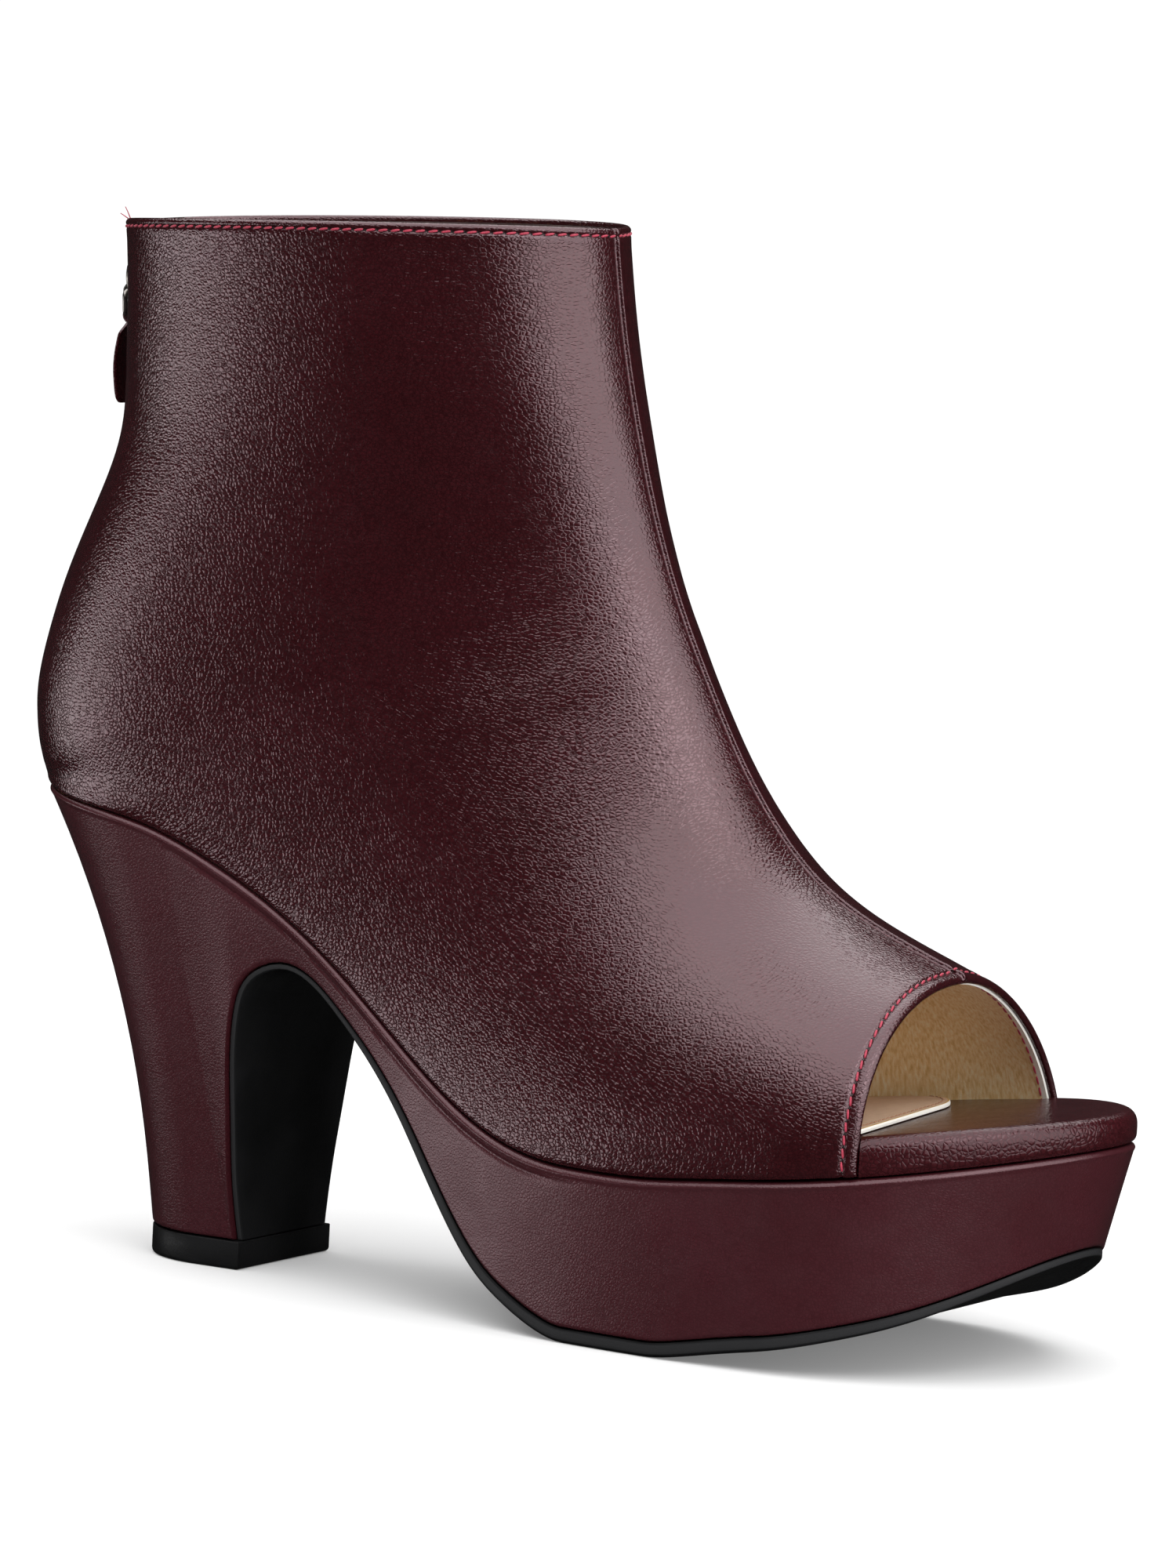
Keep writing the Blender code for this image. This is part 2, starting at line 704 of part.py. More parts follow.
def upper(material, parent):
    """One hollow shell with its wall, open at the collar, the toe, underneath and along the zip."""
    foot, closed, shaft = upper_rings()
    places = [*foot, *closed, *shaft]
    outside = []
    inside = []
    for ring in places:
        distances = ring_places(ring)
        for depth, made in ((0.0, outside), (wall, inside)):
            halves = []
            for side in (outer, inner):
                normal = ring_normals(ring, side, distances[side])
                lift = np.full(len(normal), -depth)
                if side == inner and depth == 0.0:
                    lift[-2:] = seam_rise
                points = along_line(ring_line(ring, side), distances[side])
                level = points[0, 2]
                points = points + normal * lift[:, None]
                if ring in foot:
                    points[0, 2] = level
                halves.append(points)
            made.append([*halves[0], *halves[1][::-1]])
    mesh = bmesh.new()
    out = [[mesh.verts.new(point) for point in ring] for ring in outside]
    into = [[mesh.verts.new(point) for point in ring] for ring in inside]
    last = len(out[0]) - 1
    for i in range(len(places) - 1):
        for j in range(last):
            mesh.faces.new((out[i][j], out[i][j + 1], out[i + 1][j + 1], out[i + 1][j]))
            mesh.faces.new((into[i][j], into[i + 1][j], into[i + 1][j + 1], into[i][j + 1]))
        shut = len(foot) - 1 <= i < len(foot) + 1
        if not shut:
            mesh.faces.new((out[i][0], out[i + 1][0], into[i + 1][0], into[i][0]))
            mesh.faces.new((out[i][last], into[i][last], into[i + 1][last], out[i + 1][last]))
    for i in (0, len(places) - 1):
        for j in range(last):
            mesh.faces.new((out[i][j], into[i][j], into[i][j + 1], out[i][j + 1]))
    bmesh.ops.remove_doubles(mesh, verts=mesh.verts, dist=1e-7)
    bmesh.ops.recalc_face_normals(mesh, faces=mesh.faces)
    return make("upper", mesh, material, parent)


def ring_at(base):
    """The ring that starts at a given base."""
    rings = np.linspace(0, 1, 2001)
    return float(np.interp(base, through(ring_rows, 1, rings), rings))


def zip_tape(material, parent):
    """The tape inside the shaft's back edges, with the closed chain standing up in the slot."""
    rows = [
        # distance from the centre back, height of the outer face
        (0.0, -chain_sink),
        (chain_crown, -chain_sink),
        (chain_half_width, -chain_sink - chain_round),
        (chain_half_width + gap / 3, -wall - gap),
        (slot_half_width, -wall - gap),
        (mix(slot_half_width, tape_half_width, 0.5), -wall - gap),
        (tape_half_width, -wall - gap),
    ]
    distances = np.array([row[0] for row in rows])
    heights = np.array([row[1] for row in rows])
    rings = []
    for ring in upper_rings()[2]:
        faces = []
        for height in (heights, np.full(len(heights), -wall - gap - tape_thickness)):
            sides = []
            for side in (outer, inner):
                normal = ring_normals(ring, side, distances)
                sides.append(along_line(ring_line(ring, side), distances) + normal * height[:, None])
            faces.append([*sides[0][::-1], *sides[1][1:]])
        rings.append(faces[0] + faces[1][::-1])
    return make("zip_tape", skin(rings), material, parent)


def union(target, cutter):
    """Joins a helper solid to a piece, and takes the helper away."""
    join = target.modifiers.new("join", "BOOLEAN")
    join.operation = "UNION"
    join.object = cutter
    bpy.context.view_layer.update()
    graph = bpy.context.evaluated_depsgraph_get()
    joined = bpy.data.meshes.new_from_object(target.evaluated_get(graph))
    target.modifiers.clear()
    target.data = joined
    bpy.data.objects.remove(cutter, do_unlink=True)


def zip_slider(material, mount):
    """The slider's plate with the bridge over the pull. Its x is out of the boot and its z up the zip."""
    low = gap - chain_sink
    top = slider_thickness
    plate = []
    for across, up in slider_rows:
        half = across * slider_width / 2
        z = up * slider_length
        plate.append([(low, -half, z), (top, -half, z), (top, half, z), (low, half, z)])
    body = make("zip_slider", skin(plate), material, mount)
    reach = wire_radius + bridge_room
    rise = slider_thickness + 2 * wire_radius + 3 * gap
    sunk = slider_thickness - 2 * gap
    half = bridge_width / 2
    bridge = []
    for x, z, out, up in [
        (sunk, -reach, 0.0, -1.0),
        (rise, -0.7 * reach, 1.0, -0.5),
        (rise, 0.7 * reach, 1.0, 0.5),
        (sunk, reach, 0.0, 1.0),
    ]:
        low = z - bridge_drop
        far_x = x + out * bridge_thickness
        far_z = low + up * bridge_thickness
        bridge.append([(x, -half, low), (x, half, low), (far_x, half, far_z), (far_x, -half, far_z)])
    union(body, make("bridge_helper", skin(bridge), material, mount))
    return body


def pull_link(material, hinge):
    """The wire link whose upper bar turns under the bridge."""
    corner = 2 * wire_radius
    side = link_width / 2 - corner
    foot = corner - link_length
    line = []
    for turn, (y, z) in enumerate([(side, -corner), (-side, -corner), (-side, foot), (side, foot)]):
        for angle in np.linspace(turn, turn + 1, 3) * np.pi / 2:
            line.append(np.array([0.0, y + corner * np.cos(angle), z + corner * np.sin(angle)]))
    out = np.array([1.0, 0.0, 0.0])
    around = np.linspace(0, 2 * np.pi, 9)[:-1]
    rings = []
    for i, point in enumerate(line):
        run = line[(i + 1) % len(line)] - line[i - 1]
        aside = np.cross(run / np.linalg.norm(run), out)
        ring = [point + wire_radius * (np.cos(angle) * aside + np.sin(angle) * out) for angle in around]
        rings.append(ring)
    return make("pull_link", skin(rings, loop=True), material, hinge)


def pull_tab(material, hinge):
    """The leather tab: a sleeve round the link's lower bar, and a bowed strip."""
    hole = wire_radius + gap
    sleeve = hole + tab_thickness
    half = link_width / 2 - 2 * wire_radius - sleeve_room
    rings = []
    for angle in np.linspace(0, 2 * np.pi, 13)[:-1]:
        ring = []
        for radius, y in [(hole, -half), (sleeve, -half), (sleeve, half), (hole, half)]:
            ring.append((radius * np.cos(angle), y, radius * np.sin(angle) - link_length))
        rings.append(ring)
    body = make("pull_tab", skin(rings, loop=True), material, hinge)
    strip = []
    for down, wide, bulge in tab_rows:
        z = -link_length - (hole + sleeve) / 2 - tab_length * down
        back = bulge * tab_bulge - tab_thickness / 2
        front = back + tab_thickness
        half = wide * tab_width / 2
        strip.append([(back, -half, z), (front, -half, z), (front, half, z), (back, half, z)])
    union(body, make("strip_helper", skin(strip), material, hinge))
    return body


leather = finish("burgundy_leather", (0.085, 0.018, 0.026), 0.38)
wrap = finish("burgundy_wrap", (0.095, 0.022, 0.032), 0.42)
rubber = finish("black_sole", (0.008, 0.008, 0.009), 0.45)
beige = finish("beige_sock", (0.42, 0.30, 0.20), 0.75)
tape_cloth = finish("burgundy_tape", (0.06, 0.012, 0.02), 0.8)
metal = finish("dark_metal", (0.35, 0.33, 0.32), 0.3, 1.0)

boot = bpy.data.objects.new("boot", None)
bpy.context.scene.collection.objects.link(boot)

upper(leather, boot)
heel_unit(wrap, boot)
outsole(rubber, boot)
top_piece(rubber, boot)
insole_board(leather, boot)
sock(beige, boot)
zip_tape(tape_cloth, boot)

# The slider's frame lies on the centre back line: its x points out of the boot and its z up the zip
step = 0.01
rise = back_point(slider_share + step) - back_point(slider_share - step)
rise /= np.linalg.norm(rise)
outward = np.array([-rise[2], 0.0, rise[0]])
across = np.cross(rise, outward)
zip_mount = bpy.data.objects.new("zip_mount", None)
bpy.context.scene.collection.objects.link(zip_mount)
zip_mount.parent = boot
turned = Matrix([(*row,) for row in np.stack([outward, across, rise], axis=1)]).to_4x4()
zip_mount.matrix_local = Matrix.Translation(back_point(slider_share)) @ turned
hinge = bpy.data.objects.new("pull_hinge", None)
bpy.context.scene.collection.objects.link(hinge)
hinge.parent = zip_mount
hinge.location = (slider_thickness + wire_radius + gap, 0.0, -bridge_drop)

zip_slider(metal, zip_mount)
pull_link(metal, hinge)
pull_tab(leather, hinge)
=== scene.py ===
# Burgundy peep toe ankle boot: leather, lining, stitching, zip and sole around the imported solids
import json

import bmesh
import bpy
import numpy as np
from mathutils import Matrix
from mathutils.kdtree import KDTree

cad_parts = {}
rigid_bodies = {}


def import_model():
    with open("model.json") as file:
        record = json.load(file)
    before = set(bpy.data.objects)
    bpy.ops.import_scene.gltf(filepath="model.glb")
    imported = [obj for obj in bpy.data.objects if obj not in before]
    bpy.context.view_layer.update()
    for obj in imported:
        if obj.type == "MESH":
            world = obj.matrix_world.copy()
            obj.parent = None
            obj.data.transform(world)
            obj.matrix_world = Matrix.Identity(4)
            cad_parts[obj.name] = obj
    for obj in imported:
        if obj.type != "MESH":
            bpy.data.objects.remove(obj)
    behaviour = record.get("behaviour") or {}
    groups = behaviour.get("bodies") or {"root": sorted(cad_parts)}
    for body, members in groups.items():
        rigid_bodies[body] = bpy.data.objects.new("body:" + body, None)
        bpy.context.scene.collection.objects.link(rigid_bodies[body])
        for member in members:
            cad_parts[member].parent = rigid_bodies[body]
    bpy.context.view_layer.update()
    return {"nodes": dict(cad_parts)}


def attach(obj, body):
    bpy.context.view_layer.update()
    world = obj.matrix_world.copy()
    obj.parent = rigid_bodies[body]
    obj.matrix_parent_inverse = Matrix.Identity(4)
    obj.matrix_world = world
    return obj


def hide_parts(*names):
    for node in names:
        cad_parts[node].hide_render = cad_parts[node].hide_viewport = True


for thing in list(bpy.data.objects):
    bpy.data.objects.remove(thing, do_unlink=True)
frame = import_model()
print("frame loaded:", ", ".join(sorted(frame["nodes"])))

mm = 0.001
outer, inner = -1, 1

# The last and the platform, in metres and shares. x runs from heel to toe, -y is the outer side
last = {
    "seatReach": 0.0450,
    "breastReach": 0.0134,
    "flatStart": 0.1060,
    "flatEnd": 0.1250,
    "ballReach": 0.1500,
    "openingReach": 0.1705,
    "openingSlant": 0.0035,
    "toeReach": 0.2060,
    "soleToeReach": 0.1998,
    "tipDrift": 0.0040,
    "toeRound": 1.05,
    "heelHeight": 0.0972,
    "platformHeight": 0.0355,
    "boardSpring": 0.0117,
    "archHeight": 0.0656,
    "toeSpring": 0.0238,
    "apexHeight": 0.0775,
    "collarBackHeight": 0.2152,
    "collarFrontHeight": 0.2216,
    "outerLean": 0.0014,  # how far each side of the collar rises between front and back
    "innerLean": 0.0008,
    "topPieceHeight": 0.0060,
    "outerBall": 0.0450,
    "innerBall": 0.0445,
    "seatHalfWidth": 0.0300,
    "seatEnd": 0.50,
    "seatRound": 0.0310,
    "tipHalfWidth": 0.0180,
    "tipReach": 0.0160,
    "tipRound": 0.0180,
    "heelBow": 1.20,
    "heelBowFade": 1.15,
    "breastEnd": 0.35,
    "collarReach": 0.0805,
    "shaftSetIn": 0.0142,
    "wall": 0.0020,
    "gap": 0.0003,
    "soleThickness": 0.0030,
    "tipThinning": 0.25,
    "boardThickness": 0.0078,
}

# along the sole, share of the heel's rise, share of the toe's spring
featherRows = [
    (0.000, 1.000, 0.000), (0.070, 0.969, 0.000), (0.155, 0.912, 0.000), (0.218, 0.817, 0.000),
    (0.280, 0.692, 0.000), (0.343, 0.523, 0.000), (0.405, 0.330, 0.000), (0.448, 0.207, 0.000),
    (0.492, 0.107, 0.000), (0.535, 0.040, 0.000), (0.580, 0.006, 0.000), (0.625, 0.000, 0.000),
    (0.670, 0.000, 0.020), (0.715, 0.000, 0.110), (0.770, 0.000, 0.235), (0.855, 0.000, 0.470),
    (0.925, 0.000, 0.715), (1.000, 0.000, 1.000),
]
# along from the seat's middle to the ball, outer and inner half width as shares of the ball's
planRows = [
    (0.000, 0.667, 0.675), (0.150, 0.668, 0.668), (0.330, 0.692, 0.658), (0.450, 0.750, 0.688),
    (0.573, 0.860, 0.765), (0.695, 0.950, 0.875), (0.817, 0.995, 0.960), (0.909, 1.004, 0.994),
    (1.000, 1.000, 1.000),
]
# step over the arch, forward, rise, top edge's place, width left, sole thickness
archRows = [
    (0.00, 0.000, 0.096, -0.174, 0.625, 0.45), (0.07, -0.004, 0.280, -0.136, 0.705, 0.45),
    (0.15, 0.001, 0.500, -0.095, 0.785, 0.45), (0.22, 0.008, 0.700, -0.055, 0.855, 0.45),
    (0.28, 0.026, 0.858, -0.010, 0.905, 0.45), (0.33, 0.066, 0.957, 0.045, 0.930, 0.45),
    (0.37, 0.137, 0.998, 0.135, 0.945, 0.45), (0.42, 0.219, 0.970, 0.238, 0.955, 0.45),
    (0.48, 0.300, 0.884, 0.325, 0.960, 0.45), (0.55, 0.390, 0.766, 0.422, 0.965, 0.50),
    (0.64, 0.500, 0.590, 0.540, 0.970, 0.60), (0.73, 0.610, 0.382, 0.650, 0.975, 0.72),
    (0.81, 0.720, 0.196, 0.750, 0.980, 0.85), (0.89, 0.826, 0.088, 0.850, 0.985, 0.95),
    (0.95, 0.913, 0.028, 0.930, 0.985, 1.00), (1.00, 1.000, 0.000, 1.012, 0.985, 1.00),
]
# along from the flat to the tip, share of the toe spring
springRows = [
    (0.000, 0.000), (0.120, 0.045), (0.250, 0.125), (0.400, 0.213),
    (0.560, 0.340), (0.720, 0.505), (0.870, 0.740), (1.000, 1.000),
]
# along the sole, thickness of the insole board
paddingRows = [(0.00, 0.62), (0.40, 0.76), (0.70, 0.94), (0.86, 1.04), (0.93, 0.98), (1.00, 0.82)]
# step up the front seam, forward, up
seamRows = [
    (0.000, 1.000, 0.000), (0.040, 0.928, 0.017), (0.085, 0.842, 0.037), (0.139, 0.738, 0.064),
    (0.193, 0.640, 0.098), (0.285, 0.508, 0.174), (0.353, 0.424, 0.243), (0.457, 0.319, 0.355),
    (0.563, 0.223, 0.473), (0.662, 0.150, 0.588), (0.773, 0.087, 0.721), (0.887, 0.035, 0.860),
    (1.000, 0.000, 1.000),
]
# up the centre back, set in
backRows = [
    (0.000, 0.000), (0.050, -0.140), (0.110, -0.225), (0.170, -0.215), (0.250, -0.090),
    (0.340, 0.100), (0.430, 0.380), (0.520, 0.700), (0.600, 0.940), (0.650, 1.000),
    (0.720, 0.960), (0.850, 0.900), (1.000, 0.800),
]
# ring, base, seam step, outer swell, inner swell, widest, back round, outer front, inner front
ringRows = [
    (0.000, 0.000, 0.000, 1.004, 1.004, 0.02, 1.00, 0.87, 1.08),
    (0.060, 0.111, 0.078, 1.005, 1.005, 0.03, 1.00, 0.90, 1.05),
    (0.140, 0.274, 0.180, 1.006, 1.006, 0.03, 1.00, 0.98, 1.02),
    (0.205, 0.393, 0.250, 1.006, 1.006, 0.03, 1.00, 1.02, 0.98),
    (0.270, 0.490, 0.320, 1.006, 1.008, 0.03, 1.00, 1.04, 0.94),
    (0.335, 0.599, 0.380, 1.008, 1.012, 0.04, 1.00, 1.04, 0.90),
    (0.400, 0.707, 0.437, 1.012, 1.018, 0.06, 1.00, 1.02, 0.88),
    (0.490, 0.870, 0.503, 1.024, 1.026, 0.10, 0.98, 1.00, 0.86),
    (0.550, 1.000, 0.545, 1.032, 1.032, 0.14, 0.94, 0.98, 0.84),
    (0.595, 1.344, 0.572, 1.036, 1.036, 0.20, 0.90, 0.97, 0.84),
    (0.635, 1.633, 0.592, 1.040, 1.040, 0.24, 0.86, 0.97, 0.84),
    (0.680, 2.000, 0.610, 1.044, 1.044, 0.27, 0.84, 0.97, 0.84),
    (0.730, 2.160, 0.656, 1.046, 1.046, 0.30, 0.84, 0.97, 0.84),
    (0.830, 2.470, 0.770, 1.044, 1.044, 0.38, 0.88, 0.96, 0.86),
    (0.900, 2.690, 0.853, 1.050, 1.050, 0.44, 0.92, 0.96, 0.90),
    (0.950, 2.845, 0.927, 1.056, 1.056, 0.48, 0.95, 0.96, 0.92),
    (1.000, 3.000, 1.000, 1.062, 1.062, 0.50, 0.95, 0.96, 0.93),
]


def curve(rows, column, firstSlope=None, lastSlope=None):
    place, value = np.array([(row[0], row[column]) for row in rows]).T
    step = np.diff(place)
    slope = np.diff(value) / step
    count = len(place)
    left, right = np.eye(count), np.zeros(count)
    for i in range(1, count - 1):
        left[i, i - 1:i + 2] = step[i - 1], 2 * (step[i - 1] + step[i]), step[i]
        right[i] = 6 * (slope[i] - slope[i - 1])
    if firstSlope is not None:
        left[0, :2] = 2 * step[0], step[0]
        right[0] = 6 * (slope[0] - firstSlope)
    if lastSlope is not None:
        left[-1, -2:] = step[-1], 2 * step[-1]
        right[-1] = 6 * (lastSlope - slope[-1])
    bend = np.linalg.solve(left, right)

    def read(at):
        at = np.clip(at, place[0], place[-1])
        i = np.clip(np.searchsorted(place, at, side="right") - 1, 0, count - 2)
        back, on = (place[i + 1] - at) / step[i], (at - place[i]) / step[i]
        curved = ((back**3 - back) * bend[i] + (on**3 - on) * bend[i + 1]) * step[i] ** 2 / 6
        return back * value[i] + on * value[i + 1] + curved

    return read


def mix(first, second, share):
    return first + (second - first) * share


def smooth(low, high, at):
    share = np.clip((at - low) / (high - low), 0, 1)
    return share * share * (3 - 2 * share)


def circle(count):
    return np.linspace(0, 2 * np.pi, count, endpoint=False)[:, None]


def unit(vector):
    return vector / np.linalg.norm(vector)


def squared(value, power):
    return np.sign(value) * abs(value) ** power


def bulge(distance, middle, width):
    return np.exp(-((distance - middle * mm) / (width * mm)) ** 2)


def roundOff(distance, radius, depth):
    return depth * (1 - np.sqrt(1 - (1 - np.clip(distance / radius, 0, 1)) ** 2))


featherRise, featherSpring = curve(featherRows, 1), curve(featherRows, 2)
planCurve = {outer: curve(planRows, 1, lastSlope=0.0), inner: curve(planRows, 2, lastSlope=0.0)}
archForward, archRise = curve(archRows, 1), curve(archRows, 2, lastSlope=0.0)
archTop, archNarrow, archThick = (curve(archRows, column) for column in (3, 4, 5))
toeSpringCurve = curve(springRows, 1, firstSlope=0.0)
paddingCurve = curve(paddingRows, 1)
seamForward, seamUp = curve(seamRows, 1), curve(seamRows, 2)
backSetIn = curve(backRows, 1)
ringCurves = [curve(ringRows, column) for column in range(1, 9)]
ball = {outer: last["outerBall"], inner: last["innerBall"]}
seatMiddle = last["seatRound"] - last["seatReach"]
soleLength = last["seatReach"] + last["toeReach"]
archSpan = last["flatStart"] - last["breastReach"]
gap = last["gap"]


def featherHeight(x):
    along = (x + last["seatReach"]) / soleLength
    rise = featherRise(along) * (last["heelHeight"] - last["platformHeight"])
    return last["platformHeight"] + rise + featherSpring(along) * last["boardSpring"]


def sideWidth(x, side):
    along = (x - seatMiddle) / (last["ballReach"] - seatMiddle)
    widen = last["seatHalfWidth"] - planCurve[side](0.0) * ball[side]
    return planCurve[side](along) * ball[side] + widen * np.clip(1 - along / last["seatEnd"], 0, 1) ** 2


def toeSide(turn, side, reach, inset, narrow=1.0):
    half = ball[side] * narrow - inset - side * last["tipDrift"]
    angle = turn * np.pi / 2
    x = last["ballReach"] + (reach - inset - last["ballReach"]) * np.sin(angle) ** last["toeRound"]
    return x, side * half * max(0.0, np.cos(angle)) ** last["toeRound"] + last["tipDrift"]


def toeTurn(x):
    share = np.clip((x - last["ballReach"]) / (last["toeReach"] - last["ballReach"]), 0, 1)
    return np.arcsin(share ** (1 / last["toeRound"])) * 2 / np.pi


def stationPlace(station):
    breastTop = last["breastReach"] + archRows[0][3] * archSpan
    if station <= 2:
        return mix(seatMiddle, breastTop, station - 1)
    if station <= 3:
        return last["breastReach"] + archSpan * archTop(station - 2)
    return mix(last["breastReach"] + archSpan * archRows[-1][3], last["ballReach"], station - 3)


def topEdge(station, side, inset=0.0):
    if station <= 1:
        angle = station * np.pi / 2
        x = seatMiddle - (last["seatRound"] - inset) * np.cos(angle)
        y = side * (sideWidth(seatMiddle, side) - inset) * np.sin(angle)
    elif station <= 4:
        x = stationPlace(station)
        y = side * (sideWidth(x, side) - inset)
    else:
        x, y = toeSide(station - 4, side, last["toeReach"], inset)
    return np.array([x, y, featherHeight(x)])


def underside(station):
    if station <= 3:
        return np.array([last["breastReach"] + archSpan * archForward(station - 2),
                         last["archHeight"] * archRise(station - 2)])
    if station <= 4:
        x = mix(last["flatStart"], last["ballReach"], station - 3)
    else:
        x = toeSide(station - 4, outer, last["soleToeReach"], 0.0)[0]
    along = max(0.0, (x - last["flatEnd"]) / (last["soleToeReach"] - last["flatEnd"]))
    return np.array([x, last["toeSpring"] * toeSpringCurve(along)])


def soleDepth(station):
    step = 0.004
    run = unit(underside(min(5.0, station + step)) - underside(max(2.0, station - step)))
    thick = archThick(station - 2) if station <= 3 else 1.0 - last["tipThinning"] * max(0.0, station - 4)
    if abs(station - 2.0) < step:
        run = np.array([0.0, 1.0])
    return last["soleThickness"] * thick, np.array([-run[1], run[0]])


def lowEdge(station, side, lift, inset=0.0):
    floor = last["topPieceHeight"] + gap if station < 2 + last["breastEnd"] else 0.0
    if station <= 2:
        if station <= 1:
            angle = station * np.pi / 2
            x = last["tipRound"] - last["tipReach"] - (last["tipRound"] - inset) * np.cos(angle)
            return np.array([x, side * (last["tipHalfWidth"] - inset) * np.sin(angle), floor])
        x = mix(last["tipRound"] - last["tipReach"], underside(2.0)[0] - lift, station - 1)
        return np.array([x, side * (last["tipHalfWidth"] - inset), floor])
    x, z = underside(station) + soleDepth(station)[1] * lift
    if station <= 4:
        half = sideWidth(stationPlace(station), side)
        half *= archNarrow(station - 2) if station <= 3 else archRows[-1][4]
        if station <= 3:
            tipShare = last["tipHalfWidth"] / (last["seatHalfWidth"] * archRows[0][4])
            half *= mix(tipShare, 1.0, min(1.0, (station - 2) / last["breastEnd"]))
        y = side * (half - inset)
    else:
        x, y = toeSide(station - 4, side, last["soleToeReach"], inset, archRows[-1][4])
    return np.array([x, y, max(z, floor)])


def boardTop(x):
    along = np.clip((x + last["seatReach"]) / soleLength, 0, 1)
    return featherHeight(x) + gap + last["boardThickness"] * paddingCurve(along)


def seamPoint(step):
    run = last["openingReach"] - last["collarReach"]
    rise = last["collarFrontHeight"] - last["apexHeight"]
    x = last["collarReach"] + run * seamForward(step)
    return np.array([x, 0.0, last["apexHeight"] + rise * seamUp(step)])


def backPoint(up):
    x = -last["seatReach"] + last["shaftSetIn"] * backSetIn(up)
    return np.array([x, 0.0, mix(last["heelHeight"] + gap, last["collarBackHeight"], up)])


def openingPlace(side):
    return last["openingReach"] + (last["openingSlant"] if side == inner else 0.0)


def openingStation(side):
    return 4 + toeTurn(openingPlace(side) + gap)


def basePoint(base, side):
    if base <= 1:
        x = mix(openingPlace(side), seatMiddle, base)
        if x > last["ballReach"]:
            y = toeSide(toeTurn(x), side, last["toeReach"], 0.0)[1]
        else:
            y = side * sideWidth(x, side)
        return np.array([x, y, featherHeight(x) + gap])
    if base <= 2:
        return topEdge(2 - base, side) + np.array([0.0, 0.0, gap])
    return backPoint(base - 2)


def ringLine(ring, side, samples=240):
    base, seam, outerSwell, innerSwell, widest, backRound, outerFront, innerFront = (
        float(read(ring)) for read in ringCurves)
    start = basePoint(base, side)
    front = seamPoint(seam)
    width = max(abs(start[1]), sideWidth(seatMiddle, side) if base > 1 else 0.0)
    width *= outerSwell if side == outer else innerSwell
    frontRound = outerFront if side == outer else innerFront
    first = np.arcsin(min(1.0, (abs(start[1]) / width) ** (1 / backRound)))
    angle = np.linspace(first, np.pi, samples)
    behind = np.clip(np.cos(angle), 0, 1) ** backRound / np.cos(first) ** backRound
    ahead = np.clip(-np.cos(angle), 0, 1) ** frontRound
    along = widest * (1 - behind) + (1 - widest) * ahead
    out = side * width * np.clip(np.sin(angle), 0, 1) ** np.where(angle < np.pi / 2, backRound, frontRound)
    z = mix(start[2], front[2], along)
    lean = last["outerLean"] if side == outer else last["innerLean"]
    z = z + lean * max(0.0, base - 2) ** 2 * np.abs(out) / width
    return np.stack([mix(start[0], front[0], along), out, z], axis=1)


def lineRun(line):
    return np.concatenate([[0.0], np.cumsum(np.linalg.norm(np.diff(line, axis=0), axis=1))])


def alongLine(line, places):
    run = lineRun(line)
    return np.stack([np.interp(places, run, line[:, i]) for i in range(3)], axis=1)


def newMaterial(name):
    material = bpy.data.materials.new(name)
    material.use_nodes = True
    tree = material.node_tree

    def fill(node, values):
        for key, value in values.items():
            if isinstance(value, bpy.types.NodeSocket):
                tree.links.new(value, node.inputs[key])
            else:
                node.inputs[key].default_value = value
        return node

    def add(kind, values=None, **settings):
        node = tree.nodes.new("ShaderNode" + kind)
        for key, value in settings.items():
            setattr(node, key, value)
        return fill(node, values or {})

    def finish(values):
        fill(tree.nodes["Principled BSDF"], values)
        return material

    return add, finish


def inMillimetres(add, stretch=(1, 1, 1)):
    place = add("TexCoord").outputs["Object"]
    scale = tuple(1000 * part for part in stretch)
    return add("VectorMath", {0: place, 1: scale}, operation="MULTIPLY").outputs[0]


def ramp(add, value, stops):
    node = add("ValToRGB", {0: value})
    points = node.color_ramp.elements
    while len(points) < len(stops):
        points.new(0.5)
    for point, (place, colour) in zip(points, stops):
        point.position = place
        point.color = (*colour, 1) if isinstance(colour, tuple) else (colour, colour, colour, 1)
    return node.outputs["Color"]


def blendColour(add, share, first, second, kind="MIX"):
    first, second = (
        (*value, 1) if isinstance(value, tuple) else value for value in (first, second))
    return add("Mix", {0: share, 6: first, 7: second}, data_type="RGBA", blend_type=kind).outputs[2]


def sums(add, first, second, kind="ADD"):
    return add("Math", {0: first, 1: second}, operation=kind).outputs[0]


def noise(add, vector, scale, detail=2.0):
    return add("TexNoise", {"Vector": vector, "Scale": scale, "Detail": detail}).outputs[0]


def readAttribute(add, name):
    return add("Attribute", attribute_name=name).outputs["Fac"]


def cellEdges(add, place, scale):
    return add("TexVoronoi", {"Vector": place, "Scale": scale}, feature="DISTANCE_TO_EDGE").outputs[0]


def bumped(add, height, depth, strength=1.0):
    return add("Bump", {"Height": height, "Distance": depth, "Strength": strength}).outputs[0]


def glossed(add, value, look, low=0.3, high=0.7):
    return ramp(add, value, [(low, look["gloss"][0]), (high, look["gloss"][1])])


def clouded(add, value, look, low=0.35, high=0.65):
    return blendColour(add, ramp(add, value, [(low, 0.0), (high, 1.0)]), look["dark"], look["light"])


